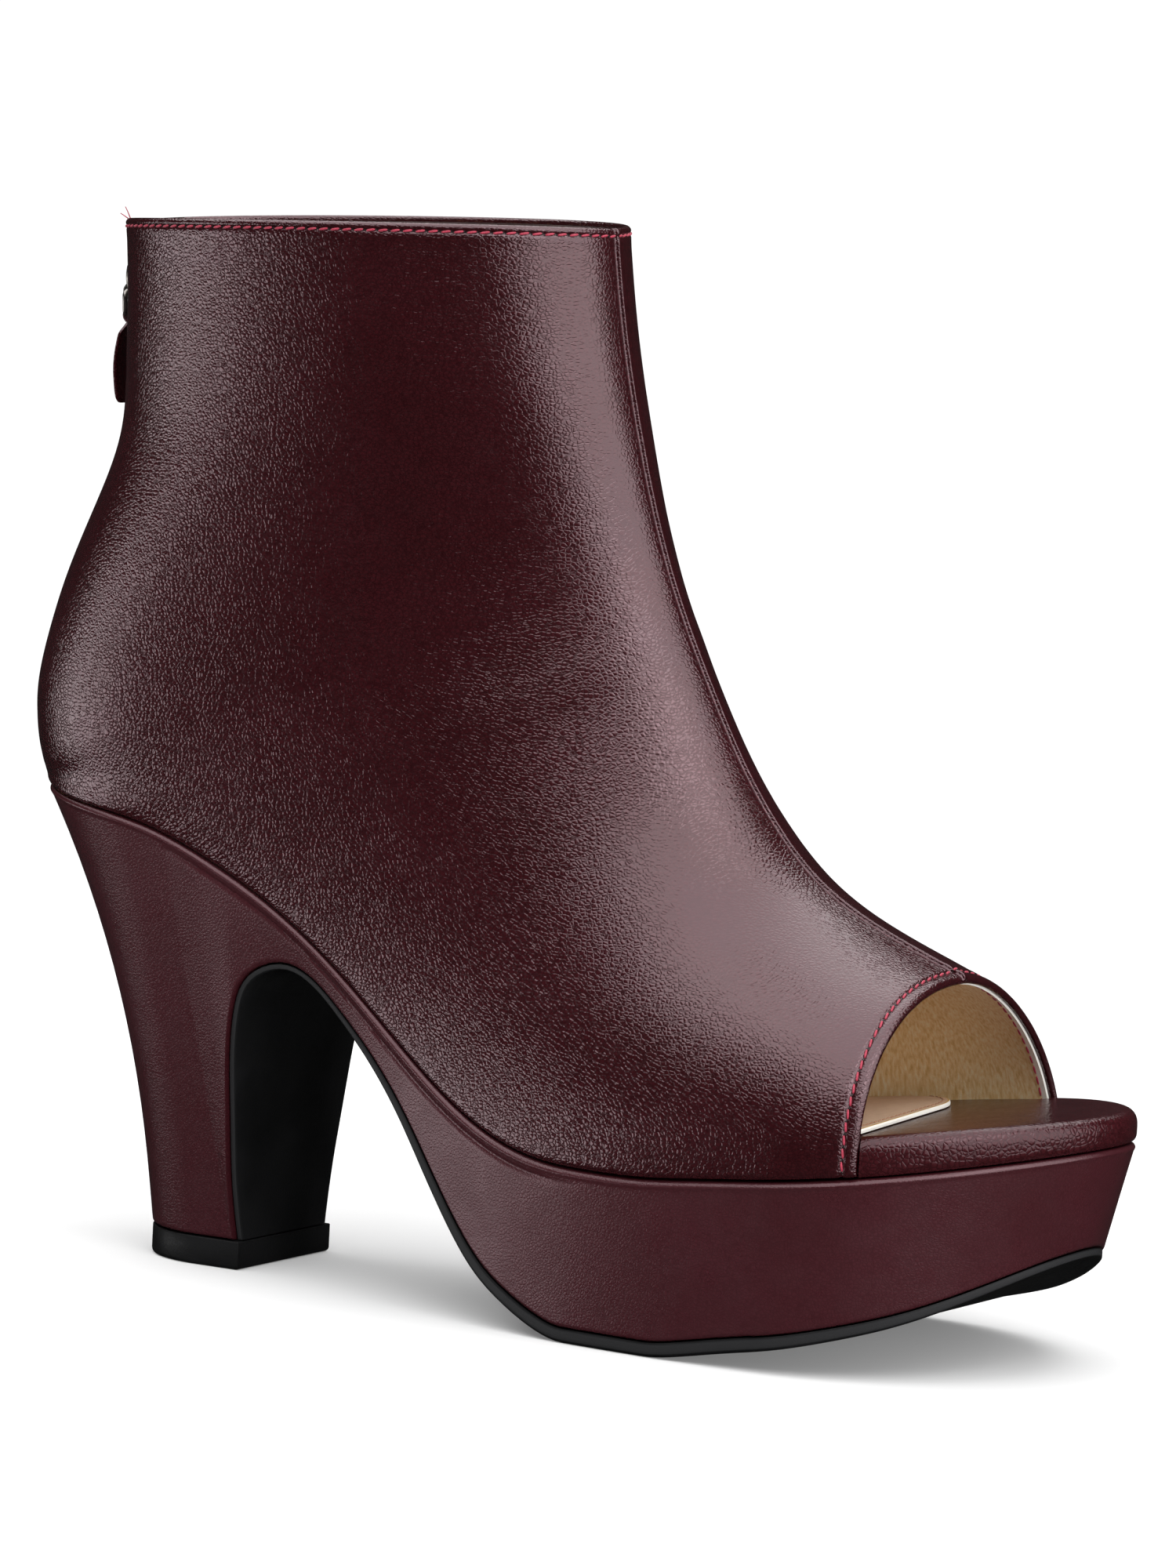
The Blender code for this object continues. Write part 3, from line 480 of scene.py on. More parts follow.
def leather(name, look):
    add, finish = newMaterial(name)
    place = inMillimetres(add, look["stretch"])
    drift = add("TexNoise", {"Vector": place, "Scale": 0.5, "Detail": 2.0}).outputs["Color"]
    bent = add("VectorMath", {0: drift, 1: (look["drift"],) * 3, 2: place}, operation="MULTIPLY_ADD")
    cells = cellEdges(add, bent.outputs[0], look["cells"])
    pebbles = ramp(add, cells, [(0.0, 0.0), (0.18, 0.55), (0.50, 1.0)])
    fine = noise(add, place, look["cells"] * 2.6, 3.0)
    swell = noise(add, place, 0.16, 2.0)
    height = sums(add, pebbles, sums(add, fine, look["fine"], "MULTIPLY"))
    colour = clouded(add, noise(add, place, 0.035, 3.0), look)
    # painted shade: the colour darkens in the grain's grooves
    colour = blendColour(add, ramp(add, cells, [(0.0, 0.7), (0.22, 0.0)]), colour, look["groove"])
    rough = glossed(add, sums(add, swell, sums(add, fine, 0.4, "MULTIPLY")), look, 0.45, 0.95)
    return finish({
        "Base Color": colour, "Roughness": rough, "Normal": bumped(add, height, look["depth"]),
        "Specular IOR Level": look["specular"], "Specular Tint": shineColour,
    })


shineColour = (1.0, 0.74, 0.79, 1.0)
# each leather's groove colour is painted shade in the grain's hollows
upperLeather = leather("upperLeather", {
    "dark": (0.023, 0.0029, 0.0040), "light": (0.028, 0.0038, 0.0054), "groove": (0.010, 0.0012, 0.0018),
    "stretch": (1.0, 1.0, 1.35), "drift": 0.55, "cells": 1.02, "fine": 0.20, "depth": 0.058 * mm,
    "gloss": (0.15, 0.20), "specular": 0.84,
})
wrapLeather = leather("wrapLeather", {
    "dark": (0.038, 0.0066, 0.0090), "light": (0.045, 0.0080, 0.0115), "groove": (0.028, 0.004, 0.006),
    "stretch": (1.0, 1.0, 1.1), "drift": 0.4, "cells": 1.35, "fine": 0.30, "depth": 0.024 * mm,
    "gloss": (0.27, 0.35), "specular": 0.66,
})
boardLeather = leather("boardLeather", {
    "dark": (0.028, 0.0038, 0.0052), "light": (0.034, 0.0050, 0.0070), "groove": (0.012, 0.0015, 0.0022),
    "stretch": (1.0, 1.0, 1.0), "drift": 0.5, "cells": 0.95, "fine": 0.25, "depth": 0.070 * mm,
    "gloss": (0.17, 0.24), "specular": 0.46,
})


def thread(name, look):
    add, finish = newMaterial(name)
    fibres = noise(add, inMillimetres(add), 5.0, 3.0)
    rough = ramp(add, fibres, [(0.3, look["rough"] - 0.08), (0.7, look["rough"] + 0.08)])
    return finish({"Base Color": clouded(add, fibres, look, high=0.7), "Roughness": rough,
                   "Normal": bumped(add, fibres, 0.05 * mm), "Sheen Weight": look["sheen"]})


crimsonThread = thread("crimsonThread", {"dark": (0.24, 0.006, 0.026), "light": (0.42, 0.018, 0.055),
                                         "rough": 0.50, "sheen": 0.15})
darkThread = thread("darkThread", {"dark": (0.055, 0.006, 0.012), "light": (0.11, 0.014, 0.022),
                                   "rough": 0.55, "sheen": 0.1})
tanThread = thread("tanThread", {"dark": (0.26, 0.12, 0.06), "light": (0.42, 0.22, 0.12),
                                 "rough": 0.6, "sheen": 0.1})
# painted shade: near-black colour standing for the shade inside the needle holes
holeShade = thread("holeShade", {"dark": (0.004, 0.001, 0.001), "light": (0.010, 0.002, 0.003),
                                   "rough": 0.75, "sheen": 0.0})


liningColours = {
    "streaks": [(0.30, (0.76, 0.49, 0.19)), (0.50, (0.90, 0.65, 0.32)), (0.72, (0.96, 0.82, 0.56))],
    "rawEdge": (0.92, 0.90, 0.84),
    # painted shade: dark colour for the band along the inside of the collar
    "collarShade": (0.024, 0.008, 0.009),
    "gloss": (0.72, 0.88),
    "depth": 0.12 * mm,
}


def liningMaterial(look):
    add, finish = newMaterial("liningCloth")
    streaks = noise(add, inMillimetres(add, (1.0, 1.0, 0.10)), 1.6, 4.0)
    fluff = noise(add, inMillimetres(add), 2.2, 3.0)
    colour = ramp(add, streaks, look["streaks"])
    raw = ramp(add, sums(add, readAttribute(add, "rim"), sums(add, fluff, 0.35, "MULTIPLY")),
               [(0.45, 0.0), (0.62, 1.0)])
    colour = blendColour(add, raw, colour, look["rawEdge"])
    # painted shade: the lining turns dark in the band along the inside of the collar
    colour = blendColour(add, readAttribute(add, "collarShade"), colour, look["collarShade"])
    height = sums(add, streaks, sums(add, fluff, 0.5, "MULTIPLY"))
    return finish({"Base Color": colour, "Roughness": glossed(add, fluff, look),
                   "Normal": bumped(add, height, look["depth"], 0.8), "Sheen Weight": 0.2})


sockColours = {
    "leather": [(0.30, (0.52, 0.36, 0.25)), (0.70, (0.62, 0.46, 0.34))],
    "bead": (0.55, 0.34, 0.08),
    "rawEdge": (0.88, 0.85, 0.78),
    "gloss": (0.58, 0.70),
    "depth": 0.03 * mm,
}


def sockMaterial(look):
    add, finish = newMaterial("sockLeather")
    place = inMillimetres(add)
    grain = cellEdges(add, place, 2.2)
    fluff = noise(add, place, 0.6, 4.0)
    colour = ramp(add, fluff, look["leather"])
    rim = readAttribute(add, "rim")
    colour = blendColour(add, ramp(add, rim, [(0.76, 0.0), (0.79, 1.0)]), colour, look["bead"])
    colour = blendColour(add, ramp(add, rim, [(0.90, 0.0), (0.93, 1.0)]), colour, look["rawEdge"])
    height = ramp(add, grain, [(0.0, 0.0), (0.2, 1.0)])
    return finish({"Base Color": colour, "Roughness": glossed(add, fluff, look),
                   "Normal": bumped(add, height, look["depth"])})


def rubberMaterial(name, look):
    add, finish = newMaterial(name)
    place = inMillimetres(add)
    speckle = noise(add, place, 2.5, 4.0)
    cloud = noise(add, place, 0.05, 3.0)
    # painted highlight: lighter colour along the sole's edge where the rim mark is high
    edge = ramp(add, readAttribute(add, "rim"), [(0.3, 0.0), (0.8, 1.0)])
    colour = blendColour(add, edge, clouded(add, cloud, look), look["edge"])
    return finish({"Base Color": colour, "Roughness": glossed(add, speckle, look),
                   "Normal": bumped(add, speckle, look["depth"]), "Specular IOR Level": look["specular"]})


liningCloth = liningMaterial(liningColours)
sockLeather = sockMaterial(sockColours)
# the sole's edge colour is a painted highlight
soleRubber = rubberMaterial("soleRubber", {
    "dark": (0.0045, 0.0045, 0.0048), "light": (0.0085, 0.0085, 0.0090), "edge": (0.020, 0.020, 0.021),
    "gloss": (0.34, 0.48), "specular": 0.10, "depth": 0.03 * mm,
})


def tapeMaterial(look):
    add, finish = newMaterial("zipCloth")
    place = inMillimetres(add)
    bands = add("TexWave", {"Vector": place, "Scale": 2.2, "Distortion": 0.6, "Detail": 1.0},
                bands_direction="Z").outputs[0]
    cross = add("TexWave", {"Vector": place, "Scale": 2.6, "Distortion": 0.4}, bands_direction="Y").outputs[0]
    weave = sums(add, bands, cross, "MULTIPLY")
    colour = blendColour(add, weave, look["dark"], look["light"])
    return finish({"Base Color": colour, "Roughness": glossed(add, weave, look, 0.0, 1.0),
                   "Normal": bumped(add, weave, look["depth"]), "Sheen Weight": 0.2})


def metalMaterial(name, look):
    add, finish = newMaterial(name)
    scratch = noise(add, inMillimetres(add, (1.0, 6.0, 1.0)), 1.5, 4.0)
    patch = noise(add, inMillimetres(add), 0.8, 3.0)
    return finish({"Base Color": blendColour(add, patch, look["dark"], look["light"]), "Metallic": 1.0,
                   "Normal": bumped(add, scratch, look["depth"]), "Roughness": glossed(add, scratch, look)})


zipCloth = tapeMaterial({"dark": (0.014, 0.003, 0.004), "light": (0.045, 0.010, 0.014), "gloss": (0.85, 0.7),
                         "depth": 0.10 * mm})
zipMetal = metalMaterial("zipMetal", {"dark": (0.16, 0.15, 0.14), "light": (0.34, 0.32, 0.30),
                                      "gloss": (0.24, 0.40), "depth": 0.01 * mm})
teethNylon = thread("teethNylon", {"dark": (0.030, 0.006, 0.008), "light": (0.060, 0.012, 0.016),
                                   "rough": 0.38, "sheen": 0.0})
print("materials ready")


def gridFaces(rows, columns, closed=False):
    i, j = np.meshgrid(np.arange(rows - 1), np.arange(columns if closed else columns - 1), indexing="ij")
    k = (j + 1) % columns
    low, high = i * columns, (i + 1) * columns
    return np.stack([low + j, low + k, high + k, high + j], -1).reshape(-1, 4)


def welded(points, faces, within=2e-7):
    keys = np.round(np.asarray(points) / within).astype(np.int64)
    _, first, index = np.unique(keys, axis=0, return_index=True, return_inverse=True)
    index = index.reshape(-1)
    kept = []
    for face in faces:
        face = index[np.asarray(face)]
        ring = [int(v) for i, v in enumerate(face) if v != face[i - 1]]
        if len(set(ring)) > 2:
            kept.append(ring)
    return first, kept


def makePiece(name, points, faces, material, slot, body="root", replaced=(), sharp=38, marks=None):
    data = bpy.data.meshes.new(name)
    data.from_pydata([tuple(point) for point in points], [], [list(face) for face in faces])
    work = bmesh.new()
    work.from_mesh(data)
    bmesh.ops.recalc_face_normals(work, faces=work.faces)
    work.to_mesh(data)
    work.free()
    data.shade_smooth()
    data.set_sharp_from_angle(angle=np.radians(sharp))
    for key, values in (marks or {}).items():
        data.attributes.new(key, "FLOAT", "POINT").data.foreach_set("value", np.asarray(values, np.float32))
    data.materials.append(material)
    piece = bpy.data.objects.new(name, data)
    bpy.context.scene.collection.objects.link(piece)
    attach(piece, body)
    if replaced:
        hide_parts(*replaced)
    return piece


def shell(name, grid, outside, inside, material, slot, marks=None, **more):
    rows, columns = grid.shape[:2]
    first, faces = welded(grid.reshape(-1, 3), gridFaces(rows, columns))
    count = len(first)
    edges = {}
    for face in faces:
        for a, b in zip(face, face[1:] + face[:1]):
            edges.setdefault((min(a, b), max(a, b)), []).append((a, b))
    rims = [ends[0] for ends in edges.values() if len(ends) == 1]
    faces = faces + [[v + count for v in face[::-1]] for face in faces]
    faces += [[b, a, a + count, b + count] for a, b in rims]
    points = np.concatenate([outside.reshape(-1, 3)[first], inside.reshape(-1, 3)[first]])
    marks = {key: np.tile(values.reshape(-1)[first], 2) for key, values in (marks or {}).items()}
    return makePiece(name, points, faces, material, slot, marks=marks, **more)


def loft(name, rings, material, slot, marks=None, loop=False, **more):
    rings = np.asarray(rings)
    rows, columns = rings.shape[:2]
    faces = [list(face) for face in gridFaces(rows, columns, closed=True)]
    if loop:
        faces += [[(rows - 1) * columns + j, (rows - 1) * columns + (j + 1) % columns, (j + 1) % columns, j]
                  for j in range(columns)]
    else:
        for start, turn in ((0, 1), ((rows - 1) * columns, -1)):
            end = start + columns - 1
            for j in range(columns // 2 - 1):
                faces.append([start + j, start + j + 1, end - 1 - j, end - j][::turn])
    first, faces = welded(rings.reshape(-1, 3), faces)
    marks = {key: np.asarray(values).reshape(-1)[first] for key, values in (marks or {}).items()}
    return makePiece(name, rings.reshape(-1, 3)[first], faces, material, slot, marks=marks, **more)


def gridNormals(grid):
    normal = np.cross(np.gradient(grid, axis=0), np.gradient(grid, axis=1))
    return normal / np.maximum(np.linalg.norm(normal, axis=2), 1e-12)[..., None]


def distanceTo(line, points):
    dense = alongLine(line, np.arange(0.0, lineRun(line)[-1], 0.06 * mm))
    tree = KDTree(len(dense))
    for i, point in enumerate(dense):
        tree.insert(point, i)
    tree.balance()
    return np.array([tree.find(point)[2] for point in points.reshape(-1, 3)]).reshape(points.shape[:-1])


upperLook = {
    "leather": 1.50 * mm,  # thickness of the leather alone
    "edgeRound": 0.85 * mm,
    "tuckRound": 1.30 * mm,  # lower edge, tucked into the platform's seam
    "innerRound": 0.90 * mm,  # the same edge on the inside
    "toeRows": [0, 0.12, 0.3, 0.55, 0.9, 1.3, 1.8, 2.25, 2.6, 2.8, 2.95, 3.1, 3.3, 3.6, 4.2, 5.2, 6.6],
    "collarRows": [0, 0.12, 0.3, 0.55, 0.85, 1.15, 1.35, 1.5, 1.65, 1.8, 2.0, 2.4, 3.2, 4.4],
    "baseColumns": [0, 0.15, 0.35, 0.6, 0.95, 1.35, 1.9, 2.7, 3.7, 4.4, 4.7, 5.0, 5.3, 5.6, 6.4, 8.0],
    "outerSeam": [0, 0.1, 0.2, 0.32, 0.45, 0.6, 0.85, 1.3, 2.0, 3.0, 4.6],
    "innerSeam": [0, 0.06, 0.14, 0.3, 0.55, 0.8, 0.95, 1.1, 1.3, 1.6, 2.1, 2.8, 3.6, 4.8],
    "columns": 56,
    "rings": 521,
    "bands": [(0.05, 0.55, 62), (0.55, 0.76, 100), (0.76, 0.98, 46)],  # shares of the height, rows in each
    "slotFoot": 0.11,
    "slotRound": 0.035,
    "slotHalf": 4.5 * mm,
    "placket": 9.3 * mm,  # stitch line beside the zip
    "placketDrop": 0.045,
    # soft ridges beside an edge: edge, height, distance from it, width, in millimetres
    "welts": [("toe", 0.26, 1.6, 0.9), ("toe", 0.12, 4.6, 1.0), ("collar", 0.14, 0.9, 0.6),
              ("collar", 0.08, 2.6, 0.7), ("slot", 0.20, 1.8, 1.3)],
    # how deep and wide each stitch line sinks in, in millimetres
    "sunk": [("toe", 0.30, 0.34), ("collar", 0.24, 0.30), ("placket", 0.22, 0.40)],
    "seamRidge": 0.42 * mm,
    "seamAllowance": 0.22 * mm,
    # side, x, z, angle from level, half length, half width, depth: all in millimetres and degrees
    "creases": [
        (outer, 66, 133, -24, 15, 4.6, 0.05), (outer, 56, 120, -30, 17, 5.0, 0.05),
        (outer, -16, 133, 24, 14, 5.0, 0.05), (outer, 128, 73, -58, 12, 4.0, 0.04),
        (inner, 64, 131, -26, 18, 3.6, 0.14), (inner, 56, 119, -32, 20, 4.0, 0.12),
        (inner, -10, 133, 20, 18, 4.0, 0.12), (inner, 20, 186, -72, 24, 6.0, 0.10),
        (inner, 126, 74, -56, 12, 3.6, 0.10),
    ],
}


def settled(block, reach=40, width=13.0):
    bell = np.exp(-((np.arange(-reach, reach + 1) / width) ** 2))
    bell /= bell.sum()
    padded = np.concatenate([2 * block[:1] - block[reach:0:-1], block,
                             2 * block[-1:] - block[-2:-reach - 2:-1]])
    soft = np.array([np.tensordot(bell, padded[i:i + len(bell)], axes=(0, 0)) for i in range(len(block))])
    fromBase = np.linalg.norm(np.diff(block, axis=1), axis=2).cumsum(axis=1)
    fromBase = np.concatenate([np.zeros((len(block), 1)), fromBase], axis=1)
    ring = np.linspace(0, 1, len(block))[:, None]
    keep = smooth(0.0, 16 * mm, fromBase) * smooth(0.02, 0.10, ring) * smooth(0.0, 0.08, 1 - ring)
    return mix(block, soft, keep[..., None])


def upperHalf(side):
    near = np.array(upperLook["baseColumns"]) * mm
    far = np.array(upperLook["outerSeam" if side == outer else "innerSeam"])[::-1] * mm
    rings = np.linspace(0, 1, upperLook["rings"])
    block = []
    for ring in rings:
        line = ringLine(ring, side)
        end = lineRun(line)[-1]
        opened = np.clip((ringCurves[0](ring) - 2 - upperLook["slotFoot"]) / upperLook["slotRound"], 0, 1)
        start = upperLook["slotHalf"] * np.sqrt(1 - (1 - opened) ** 2)
        middle = np.linspace(start + near[-1], end - far[0], upperLook["columns"])[1:-1]
        block.append(alongLine(line, np.concatenate([start + near, middle, end - far])))
    block = settled(np.array(block))
    bands = np.unique(np.concatenate([np.linspace(*band) for band in upperLook["bands"]]))
    share = ((bands - bands[0]) / (bands[-1] - bands[0]))[1:-1]
    toeRows, collarRows = (np.array(upperLook[key]) * mm for key in ("toeRows", "collarRows"))
    grid = []
    for c in range(block.shape[1]):
        run = lineRun(block[:, c])
        toe = np.interp(toeRows, run, rings)
        collar = np.interp(run[-1] - collarRows[::-1], run, rings)
        rows = np.concatenate([toe, mix(toe[-1], collar[0], share), collar])
        grid.append(np.stack([np.interp(rows, rings, block[:, c, k]) for k in range(3)], axis=1))
    return np.array(grid).transpose(1, 0, 2), block


def ringAt(base):
    rings = np.linspace(0, 1, 2001)
    return float(np.interp(base, ringCurves[0](rings), rings))


outerGrid, outerBlock = upperHalf(outer)
innerGrid, innerBlock = upperHalf(inner)
upperGrid = np.concatenate([outerGrid, innerGrid[:, -2::-1]], axis=1)
seamColumn = outerGrid.shape[1] - 1
upperNormals = gridNormals(upperGrid)
if upperNormals[upperGrid.shape[0] // 2, 8, 1] > 0:
    upperNormals = -upperNormals
flat = np.abs(upperGrid[..., 1]) < 1e-7
upperNormals[flat, 1] = 0.0
upperNormals /= np.linalg.norm(upperNormals, axis=2)[..., None]
rowSide = np.where(np.arange(upperGrid.shape[1]) > seamColumn, inner, outer)[None, :]

bases = ringCurves[0](np.linspace(0, 1, len(outerBlock)))
featherLine = np.concatenate([outerBlock[bases <= 2, 0], innerBlock[bases <= 2, 0][::-1]])
closedLine = outerBlock[(bases > 1.99) & (bases < 2.02 + upperLook["slotFoot"]), 0]
slotLine = np.concatenate([outerBlock[bases >= 2 + upperLook["slotFoot"], 0][::-1],
                           innerBlock[bases >= 2 + upperLook["slotFoot"], 0]])
toeStitchRow = upperLook["toeRows"].index(3.1)
collarStitchRow = upperGrid.shape[0] - 1 - upperLook["collarRows"].index(1.65)
seamStitchColumn = seamColumn - upperLook["outerSeam"].index(0.32)


def placketLine():
    low = ringAt(2 + upperLook["slotFoot"] - upperLook["placketDrop"])
    cross, tall = {}, {}
    for side in (outer, inner):
        tall[side] = np.array([alongLine(ringLine(ring, side), [upperLook["placket"]])[0]
                               for ring in np.linspace(low, 1.0, 70)])
        cross[side] = alongLine(ringLine(low, side), np.linspace(0, upperLook["placket"], 12)[:-1])
    return np.concatenate([tall[outer][::-1], cross[outer][::-1], cross[inner][1:], tall[inner]])


stitchLines = {
    "toe": upperGrid[toeStitchRow],
    "collar": upperGrid[collarStitchRow],
    "seam": upperGrid[toeStitchRow:collarStitchRow, seamStitchColumn],
    "placket": placketLine(),
}


def creaseLift(grid):
    lift = np.zeros(grid.shape[:2])
    for side, x, z, angle, long, wide, depth in upperLook["creases"]:
        turn = np.radians(angle)
        dx, dz = grid[..., 0] / mm - x, grid[..., 2] / mm - z
        along = (dx * np.cos(turn) + dz * np.sin(turn)) / long
        across = (dz * np.cos(turn) - dx * np.sin(turn)) / wide
        form = np.exp(-across**2) - 0.45 * np.exp(-((np.abs(across) - 2.1) / 1.1) ** 2)
        lift -= np.where(rowSide == side, depth * mm * form * np.exp(-along**2), 0.0)
    return lift


def shapeUpper(gaps):
    half = upperLook["leather"] / 2
    rounded = [roundOff(gaps[key], upperLook["edgeRound"], half) for key in ("toe", "collar", "slot")]
    depth = np.max([*rounded, roundOff(gaps["feather"], upperLook["tuckRound"], half)], axis=0)
    tucked = np.max([*rounded, roundOff(gaps["feather"], upperLook["innerRound"], half)], axis=0)
    innerDepth = upperLook["leather"] - 0.85 * tucked
    lift = creaseLift(upperGrid) * smooth(4 * mm, 14 * mm, np.minimum(gaps["toe"], gaps["collar"]))
    for key, height, middle, wide in upperLook["welts"]:
        lift += height * mm * bulge(gaps[key], middle, wide)
    for key, sunk, wide in upperLook["sunk"]:
        lift -= sunk * mm * bulge(distanceTo(stitchLines[key], upperGrid), 0.0, wide)
    seam = gaps["seam"] * rowSide
    ridge = smooth(-0.05 * mm, 0.16 * mm, seam) * (1 - smooth(0.85 * mm, 1.35 * mm, seam))
    allowance = smooth(0.0, 0.2 * mm, seam) * (1 - smooth(2.0 * mm, 4.5 * mm, seam))
    lift += upperLook["seamRidge"] * ridge + upperLook["seamAllowance"] * allowance
    lift += 0.10 * mm * bulge(seam, -1.3, 0.7) - 0.20 * mm * bulge(seam, -0.30, 0.24)
    lift -= 0.34 * mm * bulge(gaps["closed"], 0.0, 0.45) * (upperGrid[..., 2] > last["heelHeight"])
    return lift - depth, innerDepth


edgeLines = {"toe": upperGrid[0], "collar": upperGrid[-1], "feather": featherLine, "slot": slotLine,
             "closed": closedLine, "seam": upperGrid[:, seamColumn]}
edgeGaps = {key: distanceTo(line, upperGrid) for key, line in edgeLines.items()}
upperLift, innerDepth = shapeUpper(edgeGaps)
shell("upper_leather", upperGrid, upperGrid + upperNormals * upperLift[..., None],
      upperGrid - upperNormals * innerDepth[..., None], upperLeather, "burgundy_leather",
      replaced=("upper",), sharp=70)
print("upper:", upperGrid.shape[:2], "grid")

liningLook = {
    "firstRow": 1.3,  # millimetres from the toe opening, one of the upper's rows
    "lastRow": 1.15,  # the same from the collar
    "fineRows": 14,
    "fromSlot": 5,  # columns left free beside the zip
    "face": 1.56 * mm,
    "back": 2.04 * mm,
    "rawEdge": 2.6 * mm,
    "collarShade": 13 * mm,  # depth of the painted shade band inside the collar
}
liningFirst = upperLook["toeRows"].index(liningLook["firstRow"])
liningLast = upperGrid.shape[0] - 1 - upperLook["collarRows"].index(liningLook["lastRow"])
liningRows = np.unique([*range(liningFirst, liningLook["fineRows"]),
                        *range(liningLook["fineRows"], liningLast, 2), liningLast])
edgeColumn = upperGrid.shape[1] - 1 - liningLook["fromSlot"]
liningColumns = np.unique([*range(liningLook["fromSlot"], edgeColumn, 2), seamColumn, edgeColumn])
liningGrid, liningNormals, fromToe, fromCollar = (
    values[liningRows][:, liningColumns]
    for values in (upperGrid, upperNormals, edgeGaps["toe"], edgeGaps["collar"]))
# painted shade: mask of the dark band along the inside of the collar
collarShade = 1 - smooth(liningLook["collarShade"] - 0.3 * mm, liningLook["collarShade"], fromCollar)
liningRim = 1 - np.clip((fromToe - liningLook["firstRow"] * mm) / liningLook["rawEdge"], 0, 1)
shell("lining", liningGrid, liningGrid - liningNormals * liningLook["face"],
      liningGrid - liningNormals * liningLook["back"], liningCloth, "beige_sock", sharp=60,
      marks={"rim": liningRim, "collarShade": collarShade})
print("lining:", liningGrid.shape[:2], "grid")


surfaceTree = KDTree(upperGrid.shape[0] * upperGrid.shape[1])
for index, point in enumerate(upperGrid.reshape(-1, 3)):
    surfaceTree.insert(point, index)
surfaceTree.balance()


def onUpper(points):
    found = [surfaceTree.find(point)[1] for point in points]
    return upperNormals.reshape(-1, 3)[found], upperLift.reshape(-1)[found]


def evenly(line, pitch, trim=0.0):
    length = lineRun(line)[-1] - 2 * trim
    count = int(round(length / pitch))
    places = trim + (np.arange(count) + 0.5) * length / count
    here = alongLine(line, places)
    run = alongLine(line, places + 0.3 * mm) - alongLine(line, places - 0.3 * mm)
    return here, run / np.linalg.norm(run, axis=1)[:, None]


def hoop(centre, first, second, turns):
    return centre + np.cos(turns) * first + np.sin(turns) * second


def strand(centre, run, out, half, radius, rise, sides=8, steps=9):
    across = np.cross(out, run)
    rings = []
    for share in np.linspace(-1, 1, steps):
        middle = centre + run * half * share + out * rise * (1 - share**2)
        size = radius * (1 - 0.45 * share**4)
        rings.append(hoop(middle, size * across, size * out, circle(sides)))
    return np.array(rings)


def joined(name, parts, material, slot, replaced=()):
    points, faces, base = [], [], 0
    for rings in parts:
        rows, columns = rings.shape[:2]
        points.append(rings.reshape(-1, 3))
        faces += (gridFaces(rows, columns, closed=True) + base).tolist()
        faces += [[start + j for j in range(columns)] for start in (base, base + (rows - 1) * columns)]
        base += rows * columns
    return makePiece(name, np.concatenate(points), faces, material, slot, replaced=replaced, sharp=80)


def stitchRow(name, line, look, material):
    here, run = evenly(line, look["pitch"], look["trim"])
    out, lift = onUpper(here)
    parts, holeShades = [], []
    for centre, along, up, high in zip(here, run, out, lift):
        along = unit(along - up * (along @ up))
        across = np.cross(up, along)
        turn = np.radians(look["slant"])
        slanted = along * np.cos(turn) + across * np.sin(turn)
        seat = centre + up * (high + look["seat"])
        parts.append(strand(seat, slanted, up, look["half"], look["radius"], look["rise"]))
        # painted shade: a small near-black plug at each end of the stitch for the hole's shade
        for end in (-1, 1):
            spot = seat + slanted * end * (look["half"] + 0.08 * mm) - up * 0.02 * mm
            holeShades.append(np.array([hoop(spot + up * high * mm, size * along, size * across, circle(10))
                                   for size, high in ((look["hole"], 0.03), (look["hole"] * 0.8, -0.25))]))
    joined(name, parts, material, "burgundy_leather")
    # painted shade in the needle holes
    joined(name + "_hole_shade", holeShades, holeShade, "burgundy_leather")


edgeStitch = {"pitch": 2.65 * mm, "trim": 1.2 * mm, "slant": 9, "half": 0.98 * mm, "radius": 0.25 * mm,
              "rise": 0.12 * mm, "seat": 0.12 * mm, "hole": 0.26 * mm}
seamStitch = {"pitch": 3.1 * mm, "trim": 2.4 * mm, "slant": 0, "half": 0.66 * mm, "radius": 0.13 * mm,
              "rise": 0.0, "seat": 0.02 * mm, "hole": 0.32 * mm}
placketStitch = {"pitch": 2.65 * mm, "trim": 1.0 * mm, "slant": 0, "half": 0.95 * mm, "radius": 0.18 * mm,
                 "rise": 0.08 * mm, "seat": 0.06 * mm, "hole": 0.20 * mm}
stitchRow("collar_stitches", stitchLines["collar"], edgeStitch, crimsonThread)
stitchRow("toe_stitches", stitchLines["toe"], edgeStitch, crimsonThread)
stitchRow("seam_stitches", stitchLines["seam"], seamStitch, darkThread)
stitchRow("zip_stitches", stitchLines["placket"], placketStitch, crimsonThread)

# the same stitches where they come through the lining on the inner side
insideStitch = {"pitch": 2.65 * mm, "trim": 0.8 * mm, "deep": 2.08 * mm, "half": 0.95 * mm,
                "radius": 0.22 * mm, "rise": 0.06 * mm}
insideLine = upperGrid[toeStitchRow, seamColumn + 2:]
insideAt, insideRun = evenly(insideLine, insideStitch["pitch"], insideStitch["trim"])
joined("inside_toe_stitches", [
    strand(at - up * insideStitch["deep"], way, -up, *(insideStitch[key] for key in ("half", "radius", "rise")))
    for at, way, up in zip(insideAt, insideRun, onUpper(insideAt)[0])], crimsonThread, "beige_sock")

